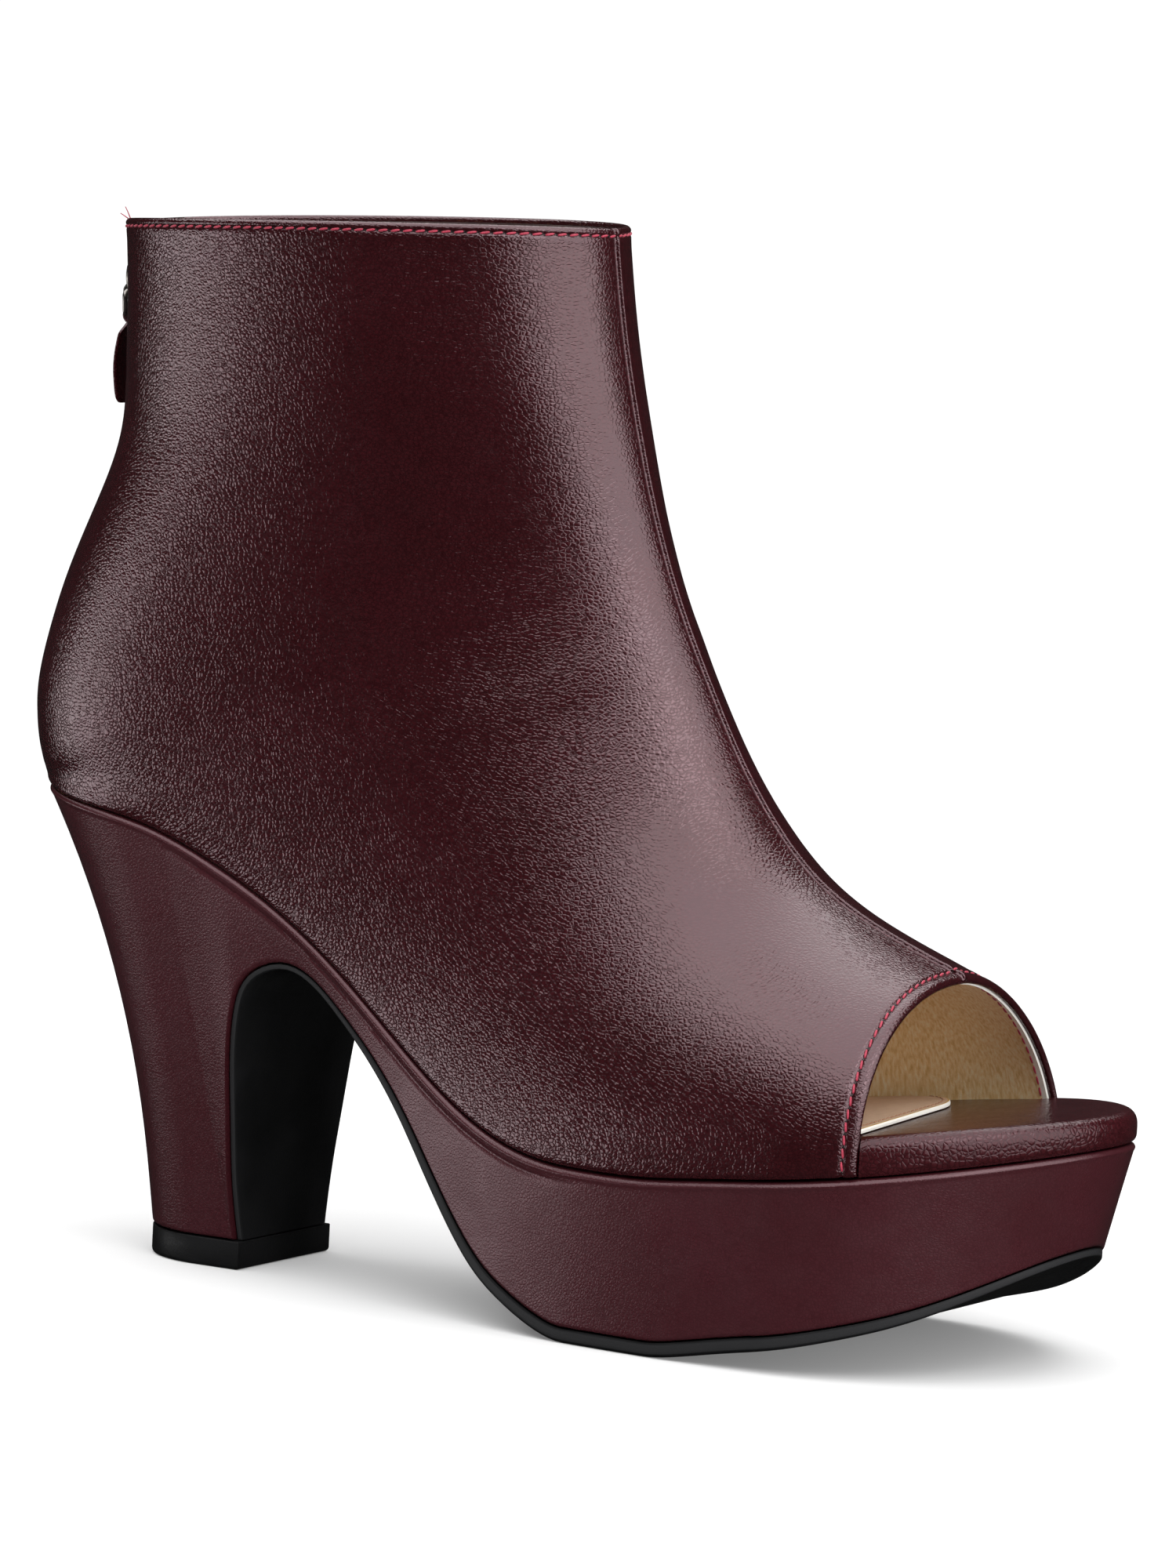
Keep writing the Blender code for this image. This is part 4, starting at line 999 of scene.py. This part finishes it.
yAxis = np.array([0.0, 1.0, 0.0])
threadEnds = {
    "radius": 0.13 * mm,
    "sag": (-0.3, 0.1, 0.0),
    # distance from the centre back, direction, length, in millimetres
    "places": [(6.3, (-0.35, -0.2, 1.0), 2.6), (8.6, (-0.75, -0.3, 0.55), 1.7)],
}
ends = []
for place, tilt, long in threadEnds["places"]:
    spot = alongLine(ringLine(1.0, outer), [place * mm])[0]
    way = unit(np.array(tilt))
    aside = unit(np.cross(way, yAxis))
    rings = []
    for share in np.linspace(0, 1, 8):
        middle = spot + way * long * mm * share + np.array(threadEnds["sag"]) * mm * share**2
        size = threadEnds["radius"] * (1 - 0.3 * share)
        rings.append(hoop(middle, size * aside, size * yAxis, circle(7)))
    ends.append(np.array(rings))
joined("thread_ends", ends, crimsonThread, "burgundy_leather")
print("upper stitched")

coverLook = {
    "topRound": 1.3 * mm,
    "lowRound": 0.8 * mm,
    "bead": 0.16 * mm,
    "fold": 0.34 * mm,  # depth of the soft line pressed along the arch
    "rows": [0, 0.1, 0.22, 0.36, 0.52, 0.7, 0.9, 1.1, 1.3, 1.6, 1.9, 2.2, 2.5, 2.8, 3.2, 3.7, 4.4],
    "lowRows": [0, 0.12, 0.26, 0.42, 0.6, 0.8, 1.1, 1.6, 2.4],
}


def coverWall(station, side, share, inset):
    lift = gap + (soleDepth(station)[0] if station >= 2 else soleDepth(2.0)[0])
    top = topEdge(station, side, inset)
    low = lowEdge(station, side, lift, inset)
    fade = np.clip(1 - station / 2, 0, 1)
    share = np.asarray(share)
    bowed = share + last["heelBow"] * fade * share * (1 - share) ** last["heelBowFade"]
    return np.stack([mix(top[i], low[i], bowed if i == 0 else share) for i in range(3)], axis=-1)


def coverRings():
    stations = np.unique([*np.linspace(0, 1, 40), *np.linspace(1, 2, 24), *np.linspace(2, 3, 110),
                          *np.linspace(3, 4, 34), *np.linspace(4, 5, 64),
                          openingStation(outer), openingStation(inner)])
    topRows, lowRows = (np.array(coverLook[key]) * mm for key in ("rows", "lowRows"))
    shown = np.linspace(0, 1, 161)
    rings = []
    for station in stations:
        ring = []
        for side in (outer, inner):
            run = lineRun(coverWall(station, side, shown, 0.0))
            fit = min(1.0, run[-1] / (topRows[-1] + lowRows[-1] + 2 * mm))
            upper, lower = topRows * fit, run[-1] - lowRows[::-1] * fit
            places = np.concatenate([upper, np.linspace(upper[-1], lower[0], 16)[1:-1], lower])
            shares = np.interp(places, run, shown)
            inset = roundOff(places, coverLook["topRound"], coverLook["topRound"])
            inset += roundOff(run[-1] - places, coverLook["lowRound"], coverLook["lowRound"])
            inset -= coverLook["bead"] * bulge(places, 1.25, 0.45)
            pressed = coverLook["fold"] * smooth(1.9, 2.2, station) * (1 - smooth(2.86, 3.05, station))
            inset += pressed * bulge(places, 2.9, 0.42)
            points = np.array([coverWall(station, side, share, depth) for share, depth in zip(shares, inset)])
            ring += list(points if side == outer else points[::-1])
        rings.append(ring)
    return np.array(rings)


loft("platform_wrap", coverRings(), wrapLeather, "burgundy_wrap", replaced=("platform_heel_cover",), sharp=50)
print("platform and heel cover")


outsoleLook = {
    "hiddenBack": 1.6 * mm,  # how far the edge hides behind the cover at the heel
    "hidden": 0.2 * mm,
    "bevel": 0.30,  # share of the thickness
    "flange": 4 * mm,
}


def outsoleRings():
    afterFlat = 3 + (last["flatEnd"] - last["flatStart"]) / (last["ballReach"] - last["flatStart"])
    stations = np.unique([*np.linspace(2, 3, 90), *np.linspace(3, afterFlat, 8),
                          *np.linspace(afterFlat, 4, 16), *np.linspace(4, 5, 60)])
    rings, marks = [], []
    for station in stations:
        depth = soleDepth(station)[0]
        heelward = np.clip((station - 2) / (2 * last["breastEnd"]), 0, 1)
        hidden = mix(outsoleLook["hiddenBack"], outsoleLook["hidden"], heelward)
        bevel = outsoleLook["bevel"] * depth
        # height above the sole's face, inset, share of the painted highlight along the edge
        rows = [(depth, 0.12 * mm, 0.0), (depth * 0.93, 0.02 * mm, 0.4), (depth * 0.75, 0.0, 1.0),
                (bevel * 1.5, 0.0, 1.0), (bevel, 0.03 * mm, 0.9), (bevel * 0.6, bevel * 0.35, 0.3),
                (bevel * 0.25, bevel * 0.75, 0.0), (0.0, bevel * 1.25, 0.0),
                (0.0, bevel * 1.25 + outsoleLook["flange"], 0.0)]
        ring = [lowEdge(station, outer, lift, hidden + inset) for lift, inset, _ in rows]
        ring += [lowEdge(station, inner, lift, hidden + inset) for lift, inset, _ in rows[::-1]]
        rings.append(ring)
        # share of the painted highlight on each row
        highlightShares = [row[2] for row in rows]
        marks.append(highlightShares + highlightShares[::-1])
    return np.array(rings), np.array(marks)


soleRings, soleHighlights = outsoleRings()
loft("outsole_rubber", soleRings, soleRubber, "black_sole", marks={"rim": soleHighlights},
     replaced=("outsole",), sharp=40)

topPieceLook = {"bevel": 0.5 * mm, "lowBevel": 0.9 * mm}


def topPieceRings():
    high, bevel, low = last["topPieceHeight"], topPieceLook["bevel"], topPieceLook["lowBevel"]
    # height, inset
    rows = [(0.0, low * 1.6), (0.0, low), (low * 0.16, low * 0.42), (low * 0.5, low * 0.12), (low, 0.0),
            (high * 0.5, 0.0), (high - bevel * 0.5, 0.0), (high - bevel * 0.15, bevel * 0.2),
            (high, bevel * 0.6)]
    stations = np.unique([*np.linspace(0, 1, 40), *np.linspace(1, 2, 16)])
    rings = []
    for z, inset in rows:
        ring = []
        for side, order in ((outer, stations), (inner, stations[::-1])):
            for station in order:
                x, y, _ = lowEdge(station, side, 0.0, inset)
                ring.append((x - smooth(1.6, 2.0, station) * inset, y, z))
        rings.append(ring)
    return np.array(rings)


topRings = topPieceRings()
loft("heel_tip", topRings, soleRubber, "black_sole", marks={"rim": np.zeros(topRings.shape[:2])},
     replaced=("top_piece",), sharp=40)
print("sole and heel tip")

boardLook = {"round": 3.4 * mm, "foot": 0.85 * mm, "power": 2.3}


def boardRings():
    ends = {side: openingStation(side) for side in (outer, inner)}
    steps = [ends[side] + step for side in (outer, inner) for step in (-1e-4, 1e-4)]
    stations = np.unique([*np.linspace(0, 1, 30), *np.linspace(1, 3, 60), *np.linspace(3, 4, 24),
                          *np.linspace(4, 5, 90), *steps])
    power = 2 / boardLook["power"]
    over = [(np.sin(angle) ** power, 1 - np.cos(angle) ** power) for angle in np.linspace(0, np.pi / 2, 13)]
    rings = []
    for station in stations:
        ring = []
        for side in (outer, inner):
            hidden = last["wall"] + 3 * gap if station <= ends[side] else 0.0
            rows = [(up, boardLook["foot"] * share)
                    for up, share in ((0.0, 1.0), (0.04, 0.5), (0.11, 0.15), (0.2, 0.0), (0.32, 0.0))]
            rows += [(0.45 + 0.55 * up, boardLook["round"] * rounded) for up, rounded in over]
            points = []
            for up, inset in rows:
                x, y, z = topEdge(station, side, hidden + inset)
                points.append((x, y, mix(z + gap, boardTop(x), up)))
            ring += points if side == outer else points[::-1]
        rings.append(ring)
    return np.array(rings)


loft("board_wrap", boardRings(), boardLeather, "burgundy_leather", replaced=("insole_board",), sharp=60)

sockLook = {
    "thick": 0.85 * mm,
    "edge": 0.35 * mm,
    "inset": 1.6 * mm,
    "reach": 161.8 * mm,
    "slant": 8.0 * mm,
    "corner": 21.0 * mm,
    "cornerCut": 12.5 * mm,
    "heel": 0.15,  # shares of the length where the heel's round ends and the front's cut starts
    "front": 0.72,
    "fromFront": 2.6,  # stitch line, in millimetres
    "rim": 4.0 * mm,
}
sockLength = last["seatReach"] + sockLook["reach"]


def sockPoint(along, across, lift):
    side = outer if across < 0 else inner
    back = last["seatReach"] - last["wall"] - boardLook["round"] - sockLook["inset"]
    x = mix(-back, sockLook["reach"], along)
    inset = last["wall"] + 2 * gap + boardLook["round"] + sockLook["inset"]
    if x < seatMiddle:
        turn = np.arccos(np.clip((seatMiddle - x) / (seatMiddle + back), 0, 1))
        half = (sideWidth(seatMiddle, side) - inset) * np.sin(turn)
    elif x < last["ballReach"]:
        half = sideWidth(x, side) - inset
    else:
        half = side * toeSide(toeTurn(x), side, last["toeReach"], 0.0)[1] - inset
    half = max(half, 0.0)
    y = half * across
    front = np.clip((along - sockLook["front"]) / (1 - sockLook["front"]), 0, 1) ** 2
    corner = np.clip((y - half + sockLook["corner"]) / sockLook["corner"], 0, 1) if side == inner else 0.0
    cut = sockLook["cornerCut"] * (1 - np.sqrt(1 - corner**2))
    x -= front * (sockLook["slant"] * y / last["innerBall"] + cut)
    return np.array([x, y, boardTop(x) + gap + lift])


def sockRings():
    heel = sockLook["heel"] * (1 - np.cos(np.linspace(0, np.pi / 2, 16)))
    places = [*heel, *np.linspace(sockLook["heel"], 0.95, 70)[1:], *(1 - np.linspace(0.05, 0, 34)[1:])]
    wide = np.sin(np.linspace(-1, 1, 49) * np.pi / 2)
    rings, marks = [], []
    for along in places:
        toFront = (1 - along) * sockLength
        lift = sockLook["thick"] - roundOff(toFront, sockLook["edge"], sockLook["edge"])
        lift = max(lift - 0.16 * mm * bulge(toFront, sockLook["fromFront"], 0.3), 0.2 * mm)
        rings.append([sockPoint(along, share, lift) for share in wide]
                     + [sockPoint(along, share, 0.0) for share in wide[::-1]])
        marks.append([1.0 - np.clip(toFront / sockLook["rim"], 0, 1)] * (2 * len(wide)))
    return np.array(rings), np.array(marks)


sockGrid, sockMarks = sockRings()
loft("sock_leather", sockGrid, sockLeather, "beige_sock", marks={"rim": sockMarks},
     replaced=("sock",), sharp=45)
sockStitch = {"pitch": 2.5 * mm, "trim": 0.4 * mm, "seat": 0.06 * mm, "half": 0.95 * mm, "radius": 0.17 * mm,
              "rise": 0.06 * mm}
frontAt = 1 - sockLook["fromFront"] * mm / sockLength
frontLine = np.array([sockPoint(frontAt, share, sockLook["thick"] - sockStitch["seat"])
                      for share in np.linspace(-0.985, 0.985, 80)])
zAxis = np.array([0.0, 0.0, 1.0])
joined("sock_stitches", [
    strand(at, way, zAxis, *(sockStitch[key] for key in ("half", "radius", "rise")))
    for at, way in zip(*evenly(frontLine, sockStitch["pitch"], sockStitch["trim"]))], tanThread, "beige_sock")
print("board and sock")

zipLook = {
    "tapeFront": 2.32 * mm,
    "tapeBack": 3.05 * mm,
    "tapeColumns": [0, 0.7, 1.4, 2.1, 3.0, 4.0, 5.2, 6.6, 8.2, 9.4, 10.0],
    "tapeFoot": 0.03,
    "chainDepth": 0.95 * mm,
    "chainTop": 0.972,
    "pitch": 1.35 * mm,
    # across, half thickness, half height of one tooth, in millimetres
    "tooth": [(-0.55, 0.30, 0.30), (-0.35, 0.48, 0.36), (0.25, 0.50, 0.27), (0.9, 0.46, 0.27),
              (1.6, 0.42, 0.29), (2.0, 0.34, 0.27)],
    "stopDepth": 0.85 * mm,
    "stopTop": 0.983,
    # up and size of one top stop
    "stop": [(-1, 0.5), (-0.75, 0.9), (0, 1.0), (0.75, 0.9), (1, 0.5)],
}


def backLine(depth, low, high, count):
    line = np.array([backPoint(up) for up in np.linspace(low, high, count)])
    run = np.gradient(line, axis=0)
    run /= np.linalg.norm(run, axis=1)[:, None]
    out = np.stack([-run[:, 2], np.zeros(count), run[:, 0]], axis=1)
    return line - out * depth, run, out


def tapeGrid():
    places = np.array(zipLook["tapeColumns"]) * mm
    rows = []
    for ring in np.linspace(ringAt(2 + upperLook["slotFoot"] - zipLook["tapeFoot"]), 1.0, 150):
        left, right = (alongLine(ringLine(ring, side), places) for side in (outer, inner))
        rows.append(np.concatenate([left[::-1], right[1:]]))
    return np.array(rows)


tape = tapeGrid()
tapeNormals = gridNormals(tape)
if tapeNormals[40, 10, 0] > 0:
    tapeNormals = -tapeNormals
shell("zip_tape_cloth", tape, tape - tapeNormals * zipLook["tapeFront"],
      tape - tapeNormals * zipLook["tapeBack"], zipCloth, "burgundy_tape", replaced=("zip_tape",), sharp=60)


def teeth():
    line = backLine(zipLook["chainDepth"], upperLook["slotFoot"], zipLook["chainTop"], 200)[0]
    places = np.arange(1.0 * mm, lineRun(line)[-1] - 0.5 * mm, zipLook["pitch"] / 2)
    step = alongLine(line, places + 0.2 * mm) - alongLine(line, places - 0.2 * mm)
    parts = []
    for i, (at, way) in enumerate(zip(alongLine(line, places), step)):
        way = unit(way)
        out = np.array([-way[2], 0.0, way[0]])
        side = inner if i % 2 else outer
        parts.append(np.array([hoop(at + yAxis * side * y * mm, thick * mm * out, tall * mm * way, circle(10))
                               for y, thick, tall in zipLook["tooth"]]))
    return parts


joined("zip_teeth", teeth(), teethNylon, "burgundy_tape")


def topStops():
    at, way, out = (rows[-1] for rows in backLine(zipLook["stopDepth"], 0.93, zipLook["stopTop"], 6))
    return [np.array([hoop(at + yAxis * side * 1.2 * mm + way * share * 1.1 * mm, size * 0.55 * mm * out,
                           size * 0.8 * mm * yAxis, circle(16)) for share, size in zipLook["stop"]])
            for side in (outer, inner)]


joined("zip_top_stops", topStops(), zipMetal, "dark_metal")
print("zip")

sliderShare = 0.885
mountAt = backPoint(sliderShare)
rise = unit(backPoint(sliderShare + 0.01) - backPoint(sliderShare - 0.01))
outward = np.array([-rise[2], 0.0, rise[0]])
mountFrame = np.stack([outward, np.cross(rise, outward), rise], axis=1)
pullLook = {
    "plateLow": gap - 0.4 * mm,
    "plateTop": 2.4 * mm,
    "width": 7.6 * mm,
    "length": 9.0 * mm,
    "wire": 0.55 * mm,
    "linkWidth": 5.2 * mm,
    "linkLength": 5.0 * mm,
    "bridgeDrop": 1.5 * mm,
    "tabWidth": 8.0 * mm,
    "tabLength": 17.0 * mm,
    "tabThick": 1.0 * mm,
    "tabBulge": 2.1 * mm,
    # half of the slider's plate from above: across and up, as shares of half its width and of its length
    "plate": [(0.50, -0.50), (0.62, -0.47), (0.70, -0.36), (0.82, -0.16), (0.97, 0.05), (1.0, 0.16),
              (0.97, 0.30), (0.88, 0.43), (0.76, 0.50)],
    "bridgeHalf": 0.8 * mm,
    "bridgeThick": 0.42 * mm,
}
hingeOut = pullLook["plateTop"] + pullLook["wire"] + gap
hingeAt = mountAt + mountFrame @ np.array([hingeOut, 0.0, -pullLook["bridgeDrop"]])
wireHole = pullLook["wire"] + gap


def placed(points, origin):
    return origin + np.asarray(points) @ mountFrame.T


def sliderParts():
    outline = [(across * pullLook["width"] / 2, up * pullLook["length"]) for across, up in pullLook["plate"]]
    ring = outline + [(-y, z) for y, z in outline[::-1]]
    low, top = pullLook["plateLow"], pullLook["plateTop"]
    # height above the mount, share of the outline; the narrow part is the groove between the two plates
    levels = [(low, 0.94), (low + 0.12 * mm, 0.99), (low + 0.3 * mm, 1.0), (0.9 * mm, 1.0),
              (0.95 * mm, 0.955), (1.2 * mm, 0.955), (1.25 * mm, 1.0), (top - 0.45 * mm, 1.0),
              (top - 0.15 * mm, 0.97), (top, 0.88)]
    plate = np.array([[(x, y * size, z * size) for y, z in ring] for x, size in levels])
    reach = pullLook["wire"] + 1.3 * mm
    arch = []
    for turn in np.linspace(-0.08, 1.08, 17) * np.pi:
        x = top - 0.25 * mm + (2 * pullLook["wire"] + 3 * gap + 0.6 * mm) * np.sin(turn)
        z = -pullLook["bridgeDrop"] - np.cos(turn) * reach
        normal = np.array([np.sin(turn), 0.0, -np.cos(turn)])
        arch.append(hoop(np.array([x, 0.0, z]), pullLook["bridgeThick"] * normal,
                         pullLook["bridgeHalf"] * yAxis, circle(12)))
    return [placed(plate, mountAt), placed(arch, mountAt)]


joined("slider_body", sliderParts(), zipMetal, "dark_metal", replaced=("zip_slider",))


def linkRings():
    corner = 2 * pullLook["wire"]
    side, foot = pullLook["linkWidth"] / 2 - corner, corner - pullLook["linkLength"]
    line = []
    for turn, (y, z) in enumerate([(side, -corner), (-side, -corner), (-side, foot), (side, foot)]):
        for angle in np.linspace(turn, turn + 1, 9) * np.pi / 2:
            line.append(np.array([0.0, y + corner * np.cos(angle), z + corner * np.sin(angle)]))
    out = np.array([1.0, 0.0, 0.0])
    rings = []
    for i, point in enumerate(line):
        aside = np.cross(unit(line[(i + 1) % len(line)] - line[i - 1]), out)
        rings.append(hoop(point, pullLook["wire"] * aside, pullLook["wire"] * out, circle(16)))
    return placed(rings, hingeAt)


loft("link_wire", linkRings(), zipMetal, "dark_metal", loop=True, body="zip_pull",
     replaced=("pull_link",), sharp=60)

# down the tab, share of its width, share of its bulge
tabShape = [(0.00, 0.40, 0.00), (0.06, 0.66, 0.13), (0.12, 0.92, 0.30), (0.20, 1.0, 0.48), (0.28, 1.0, 0.65),
            (0.45, 1.0, 0.91), (0.62, 1.0, 1.0), (0.78, 1.0, 0.93), (0.90, 0.99, 0.82), (0.95, 0.93, 0.75),
            (0.985, 0.80, 0.70), (1.0, 0.62, 0.68)]
tabWide, tabBulge = curve(tabShape, 1), curve(tabShape, 2)


def tabRings():
    thick = pullLook["tabThick"] / 2
    rings = []
    for down in np.concatenate([np.linspace(0, 0.9, 40), np.linspace(0.9, 1.0, 16)[1:]]):
        z = -pullLook["linkLength"] - wireHole - thick - pullLook["tabLength"] * down
        half = min(tabWide(down), 1.0) * pullLook["tabWidth"] / 2
        if down > 0.9:
            half = pullLook["tabWidth"] / 2 * (0.62 + 0.38 * np.sqrt(max(0.0, 1 - ((down - 0.9) / 0.1) ** 2)))
        middle = tabBulge(down) * pullLook["tabBulge"]
        rings.append([(middle + thick * squared(np.sin(angle), 0.55), half * squared(np.cos(angle), 0.35), z)
                      for angle in circle(44)[:, 0]])
    return placed(rings, hingeAt)


def sleeveRings():
    half = pullLook["linkWidth"] / 2 - 2 * pullLook["wire"] - 0.5 * mm
    turns = circle(20)[:, 0]
    radii = wireHole + pullLook["tabThick"] * (0.5 + 0.5 * squared(np.cos(turns), 0.5))
    y = half * squared(np.sin(turns), 0.4)
    foot = -pullLook["linkLength"]
    return placed([np.stack([radii * np.cos(angle), y, foot + radii * np.sin(angle)], axis=1)
                   for angle in circle(40)[:, 0]], hingeAt)


loft("tab_leather", tabRings(), boardLeather, "burgundy_leather", body="zip_pull",
     replaced=("pull_tab",), sharp=50)
loft("tab_loop", sleeveRings(), boardLeather, "burgundy_leather", loop=True, body="zip_pull", sharp=60)
print("slider, link and tab")

# a point of the heel tip and where the photo shows it, in pixels, as is the focal length
cameraLook = {"azimuth": 30.0, "elevation": 6.5, "roll": 3.0, "distance": 2.0, "focal": 12270.0,
              "seen": (0.014, -0.0185, 0.0), "seenAt": (304.1, 1621.8), "image": (1500, 2000), "sensor": 36.0}


def addCamera():
    azimuth, elevation, roll = (np.radians(cameraLook[key]) for key in ("azimuth", "elevation", "roll"))
    right = np.array([np.cos(azimuth), np.sin(azimuth), 0.0])
    back = np.array([right[1], -right[0], 0.0]) * np.cos(elevation) + zAxis * np.sin(elevation)
    up = np.cross(right, -back)
    turned = right * np.cos(roll) + up * np.sin(roll)
    upright = up * np.cos(roll) - right * np.sin(roll)
    wide, tall = cameraLook["image"]
    across = (cameraLook["seenAt"][0] - wide / 2) / cameraLook["focal"]
    down = (cameraLook["seenAt"][1] - tall / 2) / cameraLook["focal"]
    ray = -back + across * turned - down * upright
    data = bpy.data.cameras.new("camera")
    data.sensor_width = cameraLook["sensor"]
    data.lens = cameraLook["focal"] / tall * cameraLook["sensor"]
    data.clip_end = 20.0
    camera = bpy.data.objects.new("camera", data)
    bpy.context.scene.collection.objects.link(camera)
    frameMatrix = np.eye(4)
    frameMatrix[:3, :3] = np.stack([turned, upright, back], axis=1)
    frameMatrix[:3, 3] = np.array(cameraLook["seen"]) - ray * cameraLook["distance"]
    camera.matrix_world = Matrix(frameMatrix.tolist())
    bpy.context.scene.camera = camera


addCamera()

studio = {
    # name, place, looks at, size, twist in degrees, power
    "lights": [
        ("leftCard", (-1.045, -0.58, -0.045), (0.07, -0.02, -0.045), (1.0, 0.42), 0, 3.9),
        ("rightBox", (1.294, -0.28, 0.616), (0.07, -0.02, 0.11), (2.0, 1.5), 0, 26.0),
        ("overhead", (0.07, -0.38, 1.15), (0.07, -0.379, 0.0), (3.0, 2.0), -59, 52.0),
    ],
    "backdrop": 1.05,  # what the camera sees behind the boot
    "surround": 0.02,  # what the boot mirrors between the lights
    "floorMiddle": (0.10, 0.0),
    "floorReach": 0.62,
    "paper": [(0.3, (0.66, 0.66, 0.66)), (0.7, (0.68, 0.68, 0.68))],
    "glow": 0.16,  # lifts the shadows on the paper
}


def addStudio():
    scene = bpy.context.scene
    scene.view_settings.view_transform = "Standard"
    world = bpy.data.worlds.new("studio")
    world.use_nodes = True
    nodes, links = world.node_tree.nodes, world.node_tree.links
    seen = nodes.new("ShaderNodeLightPath").outputs["Is Camera Ray"]
    strength = nodes.new("ShaderNodeMix")
    strength.inputs[2].default_value = studio["surround"]
    strength.inputs[3].default_value = studio["backdrop"]
    links.new(seen, strength.inputs[0])
    background = nodes["Background"]
    background.inputs["Color"].default_value = (1.0, 1.0, 1.0, 1.0)
    links.new(strength.outputs[0], background.inputs["Strength"])
    scene.world = world
    for name, place, target, size, twist, power in studio["lights"]:
        data = bpy.data.lights.new(name, "AREA")
        data.shape = "RECTANGLE"
        data.size, data.size_y = size
        data.energy = power
        light = bpy.data.objects.new(name, data)
        scene.collection.objects.link(light)
        away = unit(np.array(place) - np.array(target))
        aside = unit(np.cross(zAxis, away))
        turned = np.eye(4)
        turned[:3, :3] = np.stack([aside, np.cross(away, aside), away], axis=1)
        turned[:3, 3] = place
        light.matrix_world = Matrix(turned.tolist()) @ Matrix.Rotation(np.radians(twist), 4, "Z")
    reach = studio["floorReach"]
    x, y = studio["floorMiddle"]
    edge = [(x + reach * np.cos(a), y + reach * np.sin(a), 0.0) for a in circle(96)[:, 0]]
    mesh = bpy.data.meshes.new("floor")
    mesh.from_pydata(edge, [], [range(len(edge))])
    add, finish = newMaterial("floorPaper")
    mesh.materials.append(finish({
        "Base Color": ramp(add, noise(add, inMillimetres(add), 0.01, 2.0), studio["paper"]),
        "Roughness": 0.7, "Specular IOR Level": 0.05,
        "Emission Color": (1.0, 1.0, 1.0, 1.0), "Emission Strength": studio["glow"]}))
    floor = bpy.data.objects.new("floor", mesh)
    floor.visible_glossy = False  # the leather mirrors the soft boxes and a dark room, not the paper
    scene.collection.objects.link(floor)


addStudio()
print("camera and studio")
